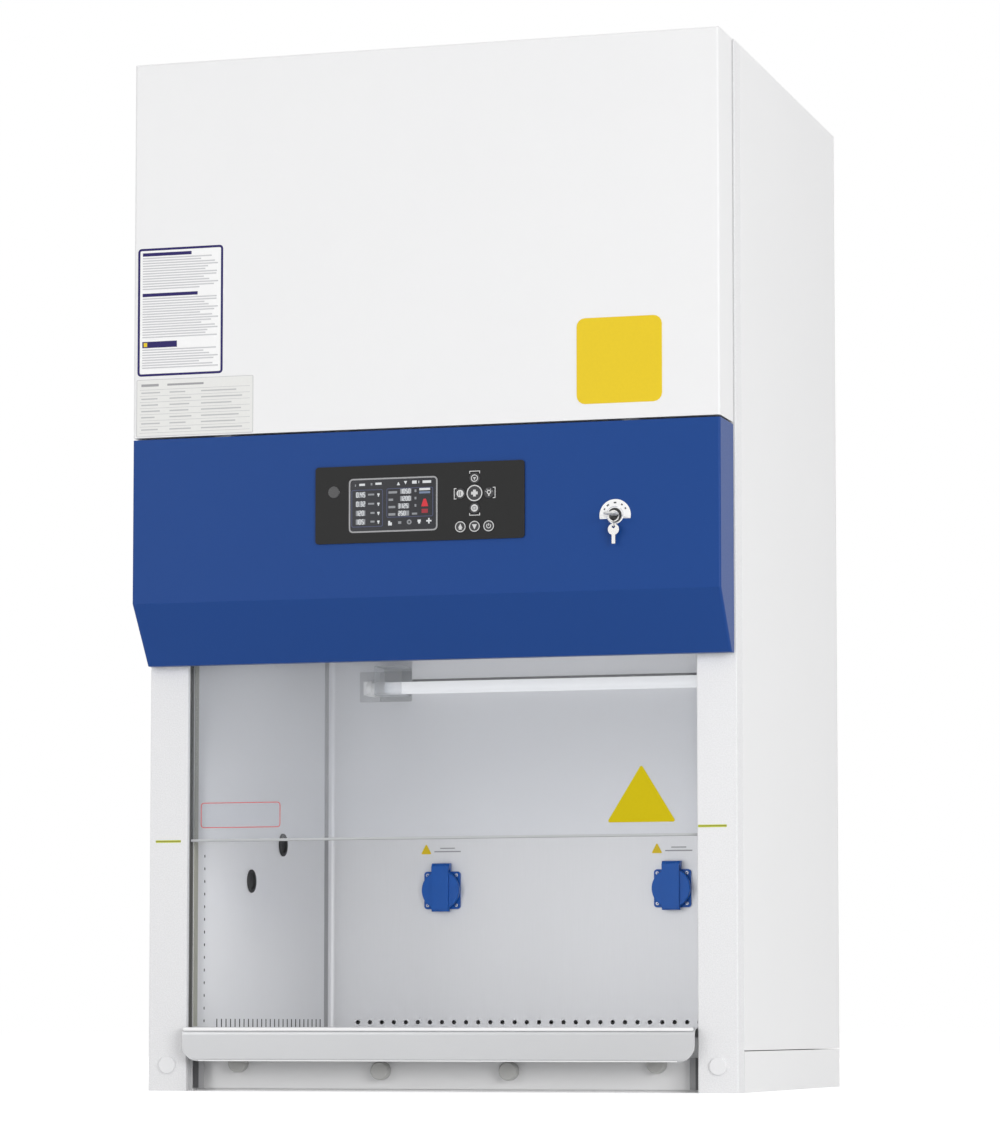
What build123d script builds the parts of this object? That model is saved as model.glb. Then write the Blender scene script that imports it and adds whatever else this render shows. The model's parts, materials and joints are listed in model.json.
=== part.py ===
"""Small bench biosafety cabinet with a motor driven sash, built as separate pieces.

Frame: origin at the centre of the footprint on the standing surface, +X to the right of
the operator, +Y towards the rear, +Z up. Lengths are millimetres, angles degrees.
"""

import os
from math import asin, degrees, hypot

from build123d import *

os.makedirs("parts", exist_ok=True)

# ---------------------------------------------------------------- driving dimensions
body_width = 724.0  # over the side panels
body_depth = 640.0  # face of the covers to the rear panel
body_height = 1230.0
panel_sheet = 1.5  # painted steel sheet
seam = 1.0  # visible joint between neighbouring panels
edge_round = 3.0  # outer edges of folded panels
flange = 12.0  # folded edge that stiffens a panel

plinth_height = 48.0
floor_sheet = 2.0
stand_hole_radius = 4.5
stand_hole_inset = 40.0
stand_hole_rear_inset = 40.0

pillar_width = 48.0
pillar_setback = 70.0  # covers' face to the pillars' face
pillar_side = 30.0  # outer side of a pillar, up to the side panel's seam
pillar_depth = 36.0  # inner side of a pillar
pillar_step = 14.0  # outer rear corner, recessed for the side panel's fold

liner_sheet = 1.5  # stainless steel lining of the chamber
rear_duct = 34.0  # back wall of the chamber to the rear face
work_height = 72.0
ceiling_height = 563.0
liner_lift = 2.0  # plinth to the lower edges of the lining

cover_inset = 2.0  # covers are narrower than the body on each side
cover_return = 66.0  # folded sides of the covers
control_bottom = 508.0
control_height = 266.5
bevel_height = 70.0
bevel_depth = 53.0
cover_lip = 20.0

arm_rest_rise = 4.0  # above the work surface
arm_rest_drop = 40.5
arm_rest_reach = 15.0  # in front of the pillars
arm_rest_depth = 100.0
arm_rest_sheet = 2.0
arm_rest_bend = 8.0
arm_rest_fold = 2.5  # bends of the rear flange and the hem
arm_rest_corner = 20.0
arm_rest_hem = 9.0
intake_slot_length = 34.0
intake_slot_width = 6.0
intake_slot_count = 24
intake_slot_margin = 26.5  # pillar to the last slot
intake_slot_setback = 28.0

lower_panel_setback = 34.0
lower_panel_drop = 12.0  # below the top of the arm rest
lower_panel_lift = 3.0
cap_radius = 11.0
cap_length = 13.0
cap_edge = 1.5
cap_outer_inset = 56.0  # pillar to the outer caps
cap_outer_z = 33.0
cap_inner_x = 79.0
cap_inner_z = 24.5
pillar_cap_radius = 10.5
pillar_cap_length = 3.0
pillar_cap_inset = 24.0
pillar_cap_z = 31.0

glass_thickness = 6.0
glass_height = 532.0
glass_setback = 14.0  # pillars' face to the middle of the glass
sash_opening = 221.5  # arm rest to the sash at its working height
sash_edge_height = 3.0
sash_edge_width = 9.0
sash_edge_round = 1.2
guide_depth = 9.5  # how far the rubber guide goes into the pillar
guide_width = 14.0
guide_wall = 3.3
guide_floor = 1.5
guide_drop = 212.5  # underside of the top panel to the end of the guides
running_gap = 0.3  # between pieces that move past each other

pulley_radius = 18.0
pulley_width = 12.0
pulley_flange = 3.0
pulley_flange_width = 1.2
pulley_axis_setback = 52.0  # covers' face to the pulley axis
pulley_inset = 14.0  # pillar to the middle of the pulleys
shaft_radius = 5.0
shaft_drop = 153.5  # underside of the top panel to the shaft
shaft_overhang = 12.0
shaft_chamfer = 0.8
idler_rise = 48.0  # lower edge of the control cover to the idlers
idler_pin_radius = 4.0
belt_thickness = 1.5
belt_width = 10.0
carrier_width = 26.0
carrier_height = 34.0
carrier_wall = 5.0
carrier_grip = 30.0  # overlap of a carrier and the glass
carrier_round = 1.5
lintel_drop = 49.0  # below the shaft
lintel_height = 96.0
lintel_setback = 10.0
lintel_sheet = 2.0
lintel_flange = 22.0
bearing_width = 12.0
bearing_height = 30.0
bearing_inset = 25.0  # pulley to the bearing beside it
bracket_arm = 3.0
gearbox_inset = 105.0  # right bearing to the gearbox
gearbox_width = 46.0
gearbox_height = 56.0
gearbox_round = 8.0
lift_motor_radius = 21.0
lift_motor_length = 84.0
lift_motor_round = 3.0

hinge_inset = 110.0  # side of the cover to the hinges
hinge_leaf = 20.0
hinge_radius = 2.2
hinge_pin_radius = 1.15
hinge_pin_gap = 0.05
hinge_drop = 2.5  # top edge of the cover to the hinge axis
hinge_tongue = 12.5

overlay_left = -129.0
overlay_width = 256.0
overlay_height = 91.0
overlay_drop = 41.5  # top of the cover to the top of the overlay
overlay_thickness = 2.0
overlay_corner = 4.0
display_inset = 41.5  # left edge of the overlay to the display
display_width = 109.0
display_height = 64.0
display_drop = 15.0  # top of the overlay to the display
display_corner = 5.0
display_depth = 6.0
receiver_inset = 23.0
receiver_drop = 30.0
receiver_radius = 7.5
receiver_round = 1.0
pad_inset = 60.3  # right edge of the overlay to the middle of the keys
pad_drop = 37.0
pad_pitch = 17.5
pad_centre_radius = 9.8
pad_arrow_radius = 6.4
lower_key_drop = 76.0
lower_key_pitch = 17.2
lower_key_radius = 6.6
key_proud = 0.8
key_gap = 0.3
key_stem_radius = 3.0
key_stem_length = 11.0
key_travel = 0.5
board_setback = 16.0
board_thickness = 1.6
board_margin = 4.0

lock_inset = 124.6  # right side of the cover to the lock
lock_drop = 109.9  # top of the cover to the lock
lock_plate_radius = 18.7
lock_plate_thickness = 0.8
lock_plate_drop = 4.0
lock_ring_radius = 10.3
lock_ring_proud = 3.0
lock_ring_chamfer = 0.8
rotor_radius = 7.2
rotor_gap = 0.05
lock_barrel_radius = 8.8
lock_barrel_length = 22.0
key_neck_length = 9.0
key_neck_width = 6.0
key_thickness = 2.2
key_bow_length = 17.0
key_bow_width = 15.0
key_bow_corner = 5.0
key_hole_radius = 2.5
ring_radius = 6.0
ring_wire = 0.6
ring_drop = 1.6
link_radius = 3.2
spare_head_radius = 6.6
spare_thickness = 2.4
spare_hole_radius = 2.0
spare_hole_rim = 1.4
spare_blade_width = 4.2
spare_blade_length = 11.0
spare_blade_root = 1.0  # of the blade within the head

foot_hole_count = 34
foot_hole_radius = 2.9
foot_hole_left = 39.5  # left wall to the first hole
foot_hole_right = 45.0  # last hole to the right wall
foot_hole_rise = 10.0  # above the work surface
wall_slot_count = 25
wall_slot_width = 3.6
wall_slot_rise = 14.0  # work surface to the top of the slots
wall_slot_height = 11.5
wall_slot_start = 69.0  # front edge of the side wall to the first slot
wall_slot_end = 38.0  # last slot to the back wall
edge_hole_count = 14
edge_hole_pitch = 15.3
edge_hole_rise = 11.5  # above the work surface
edge_hole_radius = 1.9
edge_hole_inset = 24.0
plug_radius = 12.5
plug_rim = 2.0
plug_proud = 2.5
plug_round = 1.2
plug_upper_setback = 309.0  # front edge of the side wall to the plugs
plug_upper_rise = 235.5  # work surface to the plugs
plug_lower_setback = 190.0
plug_lower_rise = 185.5

socket_left_inset = 156.0  # side walls to the sockets
socket_right_inset = 162.0
socket_rise = 182.0  # above the work surface
socket_flange = 49.0
socket_flange_thickness = 3.0
socket_corner = 4.0
socket_radius = 21.0
socket_wall = 2.4
socket_reach = 4.0
socket_back_radius = 21.0
socket_back_depth = 14.0
insert_depth = 9.0
insert_recess = 9.0  # mouth of the collar to the insert
insert_gap = 0.1
contact_hole_radius = 2.6
contact_circle_radius = 8.0
screw_inset = 4.8  # edges of the flange to its screws
screw_head_radius = 2.8
screw_head_height = 1.6
lid_radius = 25.5
lid_thickness = 5.0
lid_hollow = 3.0
lid_round = 1.5
lid_gap = 0.5
lid_rib_width = 23.0
lid_rib_proud = 2.0
lid_tab_width = 24.0
lid_tab_reach = 2.5
lid_pin_height = 31.0  # socket centre to the lid's pin
lid_knuckle_radius = 4.2
lid_knuckle_width = 13.4
lid_ear_width = 5.0
lid_ear_gap = 0.3
lid_ear_root = 3.0  # of the ears within the collar
lid_pin_radius = 1.6
lid_bore_radius = 1.65

tube_radius = 8.0
tube_length = 450.0
tube_drop = 45.0  # below the ceiling
tube_standoff = 34.0
lamp_cap_length = 24.0
lamp_cap_radius = 8.6
holder_width = 28.0
holder_rise = 5.0  # tube to the middle of its mounting plates
holder_height = 40.0
holder_thickness = 3.0
holder_arm = 5.0
holder_corner = 2.0
work_lamp_length = 520.0
work_lamp_width = 30.0
work_lamp_height = 16.0
work_lamp_round = 6.4
work_lamp_setback = 10.0

diffuser_columns = 16
diffuser_rows = 4
diffuser_slot_width = 5.0
diffuser_slot_length = 84.0
diffuser_margin_x = 44.0  # side walls to the last slots
diffuser_margin_y = 87.5
supply_height = 78.0
supply_lift = 8.0
filter_frame = 16.0
filter_inset = 6.0
filter_media = 8.0  # filter pack, set back from the frame's faces
exhaust_length = 420.0
exhaust_width = 320.0
exhaust_height = 80.0
exhaust_setback = 280.0  # rear face to the middle of the outlet
exhaust_rim = 14.0
exhaust_columns = 16
exhaust_rows = 4
exhaust_slot_width = 9.0
exhaust_slot_length = 56.0
exhaust_margin_x = 45.0  # edges of the grille to the last slots
exhaust_margin_y = 58.0
grille_sheet = 2.0
plenum_sheet = 1.5
plenum_inset = 5.0

blower_x = -20.0
blower_rise = 199.5  # floor of the plenum to the impeller's axis
impeller_radius = 100.0
impeller_width = 76.0
impeller_disc = 3.0
impeller_eye_radius = 62.0
impeller_hub_radius = 40.0
impeller_hub_length = 36.0
impeller_gap = 8.0  # to the casing's rear wall
blade_count = 9
blade_thickness = 3.0
blade_lead = 24.0  # degrees from a blade's root to its tip
blower_inlet_radius = 66.0
scroll_start = 112.0
scroll_step = 18.0  # growth of the casing's radius at each quarter turn
scroll_throat = 170.0
scroll_width = 96.0
scroll_sheet = 2.0
motor_radius = 46.0
motor_length = 58.0
motor_shaft_radius = 6.0
motor_shaft_gap = 0.05
motor_shaft_short = 1.0  # shaft's end to the bottom of the hub's bore
motor_round = 6.0

inlet_inset = 92.0  # side of the body to the inlet
inlet_drop = 68.5  # underside of the top panel to the inlet
inlet_width = 50.0
inlet_height = 30.0
inlet_proud = 2.5
inlet_depth = 26.0
inlet_socket_width = 24.0
inlet_socket_height = 16.0
inlet_wall = 3.0
inlet_pin_width = 2.0
inlet_pin_height = 4.0

# ---------------------------------------------------------------- derived places
front_y = -body_depth / 2
rear_y = body_depth / 2
side_x = body_width / 2
cover_x = side_x - cover_inset
cover_back_y = front_y + cover_return
pillar_y = front_y + pillar_setback
pillar_inner_x = side_x - pillar_width
pillar_seam_y = pillar_y + pillar_side
pillar_back_y = pillar_y + pillar_depth
panel_front_y = pillar_seam_y + seam
wall_front_y = pillar_back_y + seam
back_wall_y = rear_y - rear_duct
liner_foot = plinth_height + liner_lift
top_z = body_height - panel_sheet
arm_rest_height = work_height + arm_rest_rise
control_top = control_bottom + control_height
bevel_top = control_bottom + bevel_height
glass_y = pillar_y + glass_setback
sash_z = arm_rest_height + sash_opening
glass_bottom = sash_z + sash_edge_height
glass_top = glass_bottom + glass_height
pulley_x = pillar_inner_x - pulley_inset
shaft_height = top_z - shaft_drop
shaft_y = front_y + pulley_axis_setback
idler_height = control_bottom + idler_rise
belt_radius = pulley_radius + running_gap
belt_y = shaft_y + belt_radius
key_face_y = front_y - overlay_thickness
exhaust_y = rear_y - exhaust_setback
inlet_x = inlet_inset - side_x
inlet_z = top_z - inlet_drop
socket_z = work_height + socket_rise
socket_left_x = socket_left_inset - pillar_inner_x
socket_right_x = pillar_inner_x - socket_right_inset


def front_plane(y):
    """Plane that faces the operator at depth y: local x is X, local y is Z."""
    return Plane.XZ.offset(-y)


def side_plane(x):
    """Plane that faces +X at x: local x is Y, local y is Z."""
    return Plane.YZ.offset(x)


def span(low, high):
    """Middle and length of a stretch."""
    return (low + high) / 2, high - low


# ---------------------------------------------------------------- base and frame
# Drip tray and base frame in one: a folded tray with four holes for a stand's bolts.
base_middle_y, base_length = span(panel_front_y, rear_y)
notch_width = 2 * (side_x - pillar_step) + 2 * seam
stand_x = side_x - stand_hole_inset
stand_front_y = pillar_back_y + stand_hole_inset
stand_rear_y = rear_y - stand_hole_rear_inset
stand_y, stand_spacing_y = span(stand_front_y, stand_rear_y)
with BuildPart() as base_frame:
    with BuildSketch(Plane.XY):
        with Locations((0, base_middle_y)):
            Rectangle(body_width, base_length)
        with Locations((0, panel_front_y)):
            Rectangle(notch_width, 2 * (pillar_back_y + seam - panel_front_y), mode=Mode.SUBTRACT)
    extrude(amount=plinth_height)
    tray_y, tray_length = span(pillar_back_y + seam + floor_sheet, rear_y - floor_sheet)
    with BuildSketch(Plane.XY.offset(floor_sheet)):
        with Locations((0, tray_y)):
            Rectangle(body_width - 2 * floor_sheet, tray_length)
    extrude(amount=plinth_height, mode=Mode.SUBTRACT)
    with BuildSketch(Plane.XY):
        with Locations((0, stand_y)):
            with GridLocations(2 * stand_x, stand_spacing_y, 2, 2):
                Circle(stand_hole_radius)
    extrude(amount=floor_sheet, mode=Mode.SUBTRACT)
base_frame.part.label = "base_frame"
export_step(base_frame.part, "parts/base_frame.step")


def make_pillar(side):
    """Hollow upright with the sash's guide groove on its inner side; side is -1 or 1."""
    with BuildPart() as pillar:
        with BuildSketch(Plane.XY):
            with BuildLine():
                Polyline(
                    (side * pillar_inner_x, pillar_y),
                    (side * side_x, pillar_y),
                    (side * side_x, pillar_seam_y),
                    (side * (side_x - pillar_step), pillar_seam_y),
                    (side * (side_x - pillar_step), pillar_back_y),
                    (side * pillar_inner_x, pillar_back_y),
                    close=True,
                )
            make_face()
            with Locations((side * pillar_inner_x, glass_y)):
                Rectangle(2 * guide_depth, guide_width, mode=Mode.SUBTRACT)
            hollow_x, hollow_width = span(pillar_inner_x + guide_depth + panel_sheet, side_x - panel_sheet)
            hollow_y, hollow_depth = span(pillar_y + panel_sheet, pillar_seam_y - panel_sheet)
            with Locations((side * hollow_x, hollow_y)):
                Rectangle(hollow_width, hollow_depth, mode=Mode.SUBTRACT)
        extrude(amount=top_z)
        front_edges = pillar.edges().filter_by(Axis.Z).group_by(Axis.Y)[0]
        fillet(front_edges, radius=edge_round / 2)
    return pillar


left_pillar = make_pillar(-1)
left_pillar.part.label = "left_pillar"
export_step(left_pillar.part, "parts/left_pillar.step")

right_pillar = make_pillar(1)
right_pillar.part.label = "right_pillar"
export_step(right_pillar.part, "parts/right_pillar.step")


def make_side_panel(side):
    """Outer side sheet with its front and rear edges folded in."""
    panel_z, panel_length = span(plinth_height + seam, top_z)
    with BuildPart() as panel:
        with BuildSketch(Plane.XY.offset(plinth_height + seam)):
            with BuildLine():
                middle = side_x - panel_sheet / 2
                FilletPolyline(
                    (side * (side_x - flange), panel_front_y + panel_sheet / 2),
                    (side * middle, panel_front_y + panel_sheet / 2),
                    (side * middle, rear_y - panel_sheet * 3 / 2),
                    (side * (side_x - flange), rear_y - panel_sheet * 3 / 2),
                    radius=panel_sheet,
                )
            trace(line_width=panel_sheet)
        extrude(amount=panel_length)
    return panel


left_side_panel = make_side_panel(-1)
left_side_panel.part.label = "left_side_panel"
export_step(left_side_panel.part, "parts/left_side_panel.step")

right_side_panel = make_side_panel(1)
right_side_panel.part.label = "right_side_panel"
export_step(right_side_panel.part, "parts/right_side_panel.step")

rear_z, rear_height = span(plinth_height + seam, top_z)
with BuildPart() as rear_panel:
    with BuildSketch(front_plane(rear_y)):
        with Locations((0, rear_z)):
            Rectangle(body_width, rear_height)
        with Locations((inlet_x, inlet_z)):
            Rectangle(inlet_width - 2 * inlet_wall, inlet_height - 2 * inlet_wall, mode=Mode.SUBTRACT)
    extrude(amount=panel_sheet)
rear_panel.part.label = "rear_panel"
export_step(rear_panel.part, "parts/rear_panel.step")

top_y, top_length = span(cover_back_y + seam, rear_y)
with BuildPart() as top_panel:
    with BuildSketch(Plane.XY.offset(top_z)):
        with Locations((0, top_y)):
            Rectangle(body_width, top_length)
        with Locations((0, exhaust_y)):
            Rectangle(
                exhaust_length - 2 * exhaust_rim, exhaust_width - 2 * exhaust_rim, mode=Mode.SUBTRACT
            )
    extrude(amount=panel_sheet)
top_panel.part.label = "top_panel"
export_step(top_panel.part, "parts/top_panel.step")

exhaust_pitch_x = (exhaust_length - 2 * exhaust_margin_x) / (exhaust_columns - 1)
exhaust_pitch_y = (exhaust_width - 2 * exhaust_margin_y) / (exhaust_rows - 1)
with BuildPart() as exhaust_grille:
    with BuildSketch(Plane.XY.offset(top_z - grille_sheet)):
        with Locations((0, exhaust_y)):
            Rectangle(exhaust_length, exhaust_width)
            with GridLocations(exhaust_pitch_x, exhaust_pitch_y, exhaust_columns, exhaust_rows):
                Rectangle(exhaust_slot_width, exhaust_slot_length, mode=Mode.SUBTRACT)
    extrude(amount=grille_sheet)
exhaust_grille.part.label = "exhaust_grille"
export_step(exhaust_grille.part, "parts/exhaust_grille.step")

# Folded beam between the pillars that carries the sash's drive.
lintel_y = pillar_y + lintel_setback
lintel_bottom = shaft_height - lintel_drop
with BuildPart() as front_lintel:
    with BuildSketch(side_plane(-pillar_inner_x)):
        with BuildLine():
            Polyline(
                (lintel_y + lintel_flange, lintel_bottom + lintel_sheet / 2),
                (lintel_y + lintel_sheet / 2, lintel_bottom + lintel_sheet / 2),
                (lintel_y + lintel_sheet / 2, lintel_bottom + lintel_height - lintel_sheet / 2),
                (lintel_y + lintel_flange, lintel_bottom + lintel_height - lintel_sheet / 2),
            )
        trace(line_width=lintel_sheet)
    extrude(amount=2 * pillar_inner_x)
front_lintel.part.label = "front_lintel"
export_step(front_lintel.part, "parts/front_lintel.step")

# ---------------------------------------------------------------- lower front
lower_panel_y = pillar_y + lower_panel_setback
lower_panel_top = arm_rest_height - lower_panel_drop
with BuildPart() as front_lower_panel:
    with BuildSketch(side_plane(-(pillar_inner_x - seam))):
        with BuildLine():
            Polyline(
                (lower_panel_y - flange, lower_panel_top - panel_sheet / 2),
                (lower_panel_y + panel_sheet / 2, lower_panel_top - panel_sheet / 2),
                (lower_panel_y + panel_sheet / 2, lower_panel_lift),
            )
        trace(line_width=panel_sheet)
    extrude(amount=2 * (pillar_inner_x - seam))
front_lower_panel.part.label = "front_lower_panel"
export_step(front_lower_panel.part, "parts/front_lower_panel.step")

cap_outer_x = pillar_inner_x - cap_outer_inset
pillar_cap_x = side_x - pillar_cap_inset
with BuildPart() as panel_caps:
    with BuildSketch(front_plane(lower_panel_y)):
        with GridLocations(2 * cap_outer_x, 1, 2, 1):
            with Locations((0, cap_outer_z)):
                Circle(cap_radius)
        with GridLocations(2 * cap_inner_x, 1, 2, 1):
            with Locations((0, cap_inner_z)):
                Circle(cap_radius)
    extrude(amount=cap_length)
    chamfer(panel_caps.faces().sort_by(Axis.Y)[:4].edges(), length=cap_edge)
    with BuildSketch(front_plane(pillar_y)):
        with GridLocations(2 * pillar_cap_x, 1, 2, 1):
            with Locations((0, pillar_cap_z)):
                Circle(pillar_cap_radius)
    extrude(amount=pillar_cap_length)
    fillet(panel_caps.faces().sort_by(Axis.Y)[:2].edges(), radius=cap_edge)
panel_caps.part.label = "panel_caps"
export_step(panel_caps.part, "parts/panel_caps.step")

# Arm rest: one folded sheet, its top slotted as the front air intake.
arm_rest_y = pillar_y - arm_rest_reach
arm_rest_x = pillar_inner_x - running_gap
arm_rest_back_y = arm_rest_y + arm_rest_depth
arm_rest_bottom = arm_rest_height - arm_rest_drop
half_rest = arm_rest_sheet / 2
intake_slot_pitch = 2 * (pillar_inner_x - intake_slot_margin) / (intake_slot_count - 1)
with BuildPart() as arm_rest:
    with BuildSketch(side_plane(-arm_rest_x)):
        with BuildLine():
            FilletPolyline(
                (arm_rest_back_y - half_rest, work_height - flange),
                (arm_rest_back_y - half_rest, arm_rest_height - half_rest),
                (arm_rest_y + half_rest, arm_rest_height - half_rest),
                (arm_rest_y + half_rest, arm_rest_bottom + half_rest),
                (arm_rest_y + arm_rest_hem, arm_rest_bottom + half_rest),
                radius=(arm_rest_fold, arm_rest_bend, arm_rest_fold),
            )
        trace(line_width=arm_rest_sheet)
    extrude(amount=2 * arm_rest_x)
    with BuildSketch(front_plane(arm_rest_back_y)) as outline:
        with Locations((0, (arm_rest_height + arm_rest_bottom) / 2)):
            Rectangle(2 * arm_rest_x, arm_rest_drop)
        fillet(outline.vertices().group_by(Axis.Y)[0], radius=arm_rest_corner)
    extrude(amount=arm_rest_depth, mode=Mode.INTERSECT)
    with BuildSketch(Plane.XY.offset(arm_rest_height)):
        with Locations((0, arm_rest_back_y - intake_slot_setback)):
            with GridLocations(intake_slot_pitch, 1, intake_slot_count, 1):
                SlotOverall(intake_slot_length, intake_slot_width, rotation=90)
    extrude(amount=-arm_rest_bend, mode=Mode.SUBTRACT)
arm_rest.part.label = "arm_rest"
export_step(arm_rest.part, "parts/arm_rest.step")

# ---------------------------------------------------------------- chamber lining
work_front_y = arm_rest_back_y + seam
with BuildPart() as work_surface:
    with BuildSketch(side_plane(-(pillar_inner_x - seam))):
        with BuildLine():
            FilletPolyline(
                (work_front_y + liner_sheet / 2, work_height - 2 * flange),
                (work_front_y + liner_sheet / 2, work_height - liner_sheet / 2),
                (back_wall_y - seam - liner_sheet / 2, work_height - liner_sheet / 2),
                (back_wall_y - seam - liner_sheet / 2, work_height - 2 * flange),
                radius=2 * liner_sheet,
            )
        trace(line_width=liner_sheet)
    extrude(amount=2 * (pillar_inner_x - seam))
work_surface.part.label = "work_surface"
export_step(work_surface.part, "parts/work_surface.step")

wall_z, wall_height = span(liner_foot, ceiling_height)
wall_y, wall_length = span(wall_front_y, back_wall_y)
wall_slot_pitch = (wall_length - wall_slot_start - wall_slot_end) / (wall_slot_count - 1)
wall_slot_z = work_height + wall_slot_rise - wall_slot_height / 2
plug_places = [
    (wall_front_y + plug_upper_setback, work_height + plug_upper_rise),
    (wall_front_y + plug_lower_setback, work_height + plug_lower_rise),
]


def make_side_wall(side, plugged):
    """Stainless side wall with slots at its foot and small holes down its front edge."""
    slot_y = wall_front_y + wall_slot_start + (wall_slot_count - 1) * wall_slot_pitch / 2
    edge_z = work_height + edge_hole_rise + (edge_hole_count - 1) * edge_hole_pitch / 2
    with BuildPart() as wall:
        with BuildSketch(side_plane(side * pillar_inner_x)):
            with Locations((wall_y, wall_z)):
                Rectangle(wall_length, wall_height)
            with Locations((slot_y, wall_slot_z)):
                with GridLocations(wall_slot_pitch, 1, wall_slot_count, 1):
                    Rectangle(wall_slot_width, wall_slot_height, mode=Mode.SUBTRACT)
            with Locations((wall_front_y + edge_hole_inset, edge_z)):
                with GridLocations(1, edge_hole_pitch, 1, edge_hole_count):
                    Circle(edge_hole_radius, mode=Mode.SUBTRACT)
            if plugged:
                with Locations(*plug_places):
                    Circle(plug_radius, mode=Mode.SUBTRACT)
        extrude(amount=side * liner_sheet)
    return wall


inner_left_wall = make_side_wall(-1, plugged=True)
inner_left_wall.part.label = "inner_left_wall"
export_step(inner_left_wall.part, "parts/inner_left_wall.step")

inner_right_wall = make_side_wall(1, plugged=False)
inner_right_wall.part.label = "inner_right_wall"
export_step(inner_right_wall.part, "parts/inner_right_wall.step")

foot_hole_span = 2 * pillar_inner_x - foot_hole_left - foot_hole_right
foot_hole_pitch = foot_hole_span / (foot_hole_count - 1)
foot_hole_x = (foot_hole_left - foot_hole_right) / 2
with BuildPart() as inner_back_wall:
    with BuildSketch(front_plane(back_wall_y)):
        with Locations((0, wall_z)):
            Rectangle(2 * (pillar_inner_x + liner_sheet), wall_height)
        with Locations((foot_hole_x, work_height + foot_hole_rise)):
            with GridLocations(foot_hole_pitch, 1, foot_hole_count, 1):
                Circle(foot_hole_radius, mode=Mode.SUBTRACT)
        with Locations((socket_left_x, socket_z), (socket_right_x, socket_z)):
            Circle(socket_back_radius + insert_gap, mode=Mode.SUBTRACT)
    extrude(amount=-liner_sheet)
inner_back_wall.part.label = "inner_back_wall"
export_step(inner_back_wall.part, "parts/inner_back_wall.step")

# Rubber plugs in the left wall's service holes: a rim inside, a stem through the sheet.
with BuildPart() as wall_plugs:
    with BuildSketch(side_plane(-pillar_inner_x)):
        with Locations(*plug_places):
            Circle(plug_radius + plug_rim)
    extrude(amount=plug_proud)
    fillet(wall_plugs.faces().sort_by(Axis.X)[-2:].edges(), radius=plug_round)
    with BuildSketch(side_plane(-pillar_inner_x)):
        with Locations(*plug_places):
            Circle(plug_radius)
    extrude(amount=-3 * liner_sheet)
    with BuildSketch(side_plane(-pillar_inner_x + plug_proud)):
        with Locations(*plug_places):
            Circle(plug_radius - plug_rim)
    extrude(amount=-plug_proud, mode=Mode.SUBTRACT)
wall_plugs.part.label = "wall_plugs"
export_step(wall_plugs.part, "parts/wall_plugs.step")

diffuser_pitch_x = 2 * (pillar_inner_x - diffuser_margin_x) / (diffuser_columns - 1)
diffuser_pitch_y = (wall_length - 2 * diffuser_margin_y) / (diffuser_rows - 1)
with BuildPart() as diffuser:
    with BuildSketch(Plane.XY.offset(ceiling_height)):
        with Locations((0, wall_y)):
            Rectangle(2 * (pillar_inner_x + liner_sheet), wall_length)
            with GridLocations(diffuser_pitch_x, diffuser_pitch_y, diffuser_columns, diffuser_rows):
                Rectangle(diffuser_slot_width, diffuser_slot_length, mode=Mode.SUBTRACT)
    extrude(amount=liner_sheet)
diffuser.part.label = "diffuser"
export_step(diffuser.part, "parts/diffuser.step")

# ---------------------------------------------------------------- air path
supply_z = ceiling_height + liner_sheet + supply_lift
supply_length = 2 * (pillar_inner_x - filter_inset)
supply_width = wall_length - 2 * filter_inset


def make_filter(length, width, height, bottom, middle_y):
    """Filter cell: a frame round a pack that is set back from both faces."""
    with BuildPart() as cell:
        with BuildSketch(Plane.XY.offset(bottom)):
            with Locations((0, middle_y)):
                Rectangle(length, width)
                Rectangle(length - 2 * filter_frame, width - 2 * filter_frame, mode=Mode.SUBTRACT)
        extrude(amount=height)
        with BuildSketch(Plane.XY.offset(bottom + filter_media)):
            with Locations((0, middle_y)):
                Rectangle(length - 2 * filter_frame, width - 2 * filter_frame)
        extrude(amount=height - 2 * filter_media)
    return cell


supply_filter = make_filter(supply_length, supply_width, supply_height, supply_z, wall_y)
supply_filter.part.label = "supply_filter"
export_step(supply_filter.part, "parts/supply_filter.step")

exhaust_filter_z = top_z - grille_sheet - exhaust_height
exhaust_filter = make_filter(exhaust_length, exhaust_width, exhaust_height, exhaust_filter_z, exhaust_y)
exhaust_filter.part.label = "exhaust_filter"
export_step(exhaust_filter.part, "parts/exhaust_filter.step")

# Plenum: sheet box between the two filters, open where each filter seals against it.
plenum_bottom = supply_z + supply_height
plenum_height = exhaust_filter_z - plenum_bottom
plenum_front_y = wall_front_y + plenum_inset
plenum_back_y = back_wall_y - plenum_inset
plenum_y, plenum_length = span(plenum_front_y, plenum_back_y)
plenum_x = pillar_inner_x - plenum_inset
blower_z = plenum_bottom + blower_rise
with BuildPart() as plenum_box:
    with BuildSketch(Plane.XY.offset(plenum_bottom)):
        with Locations((0, plenum_y)):
            Rectangle(2 * plenum_x, plenum_length)
    extrude(amount=plenum_height)
    with BuildSketch(Plane.XY.offset(plenum_bottom)):
        with Locations((0, plenum_y)):
            Rectangle(2 * (plenum_x - plenum_sheet), plenum_length - 2 * plenum_sheet)
    extrude(amount=plenum_height - plenum_sheet, mode=Mode.SUBTRACT)
    with BuildSketch(Plane.XY.offset(plenum_bottom + plenum_height)):
        with Locations((0, exhaust_y)):
            Rectangle(exhaust_length - 2 * filter_frame, exhaust_width - 2 * filter_frame)
    extrude(amount=-plenum_sheet, mode=Mode.SUBTRACT)
    with BuildSketch(front_plane(plenum_back_y)):
        with Locations((blower_x, blower_z)):
            Circle(blower_inlet_radius)
    extrude(amount=plenum_sheet, mode=Mode.SUBTRACT)
plenum_box.part.label = "plenum_box"
export_step(plenum_box.part, "parts/plenum_box.step")

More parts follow.
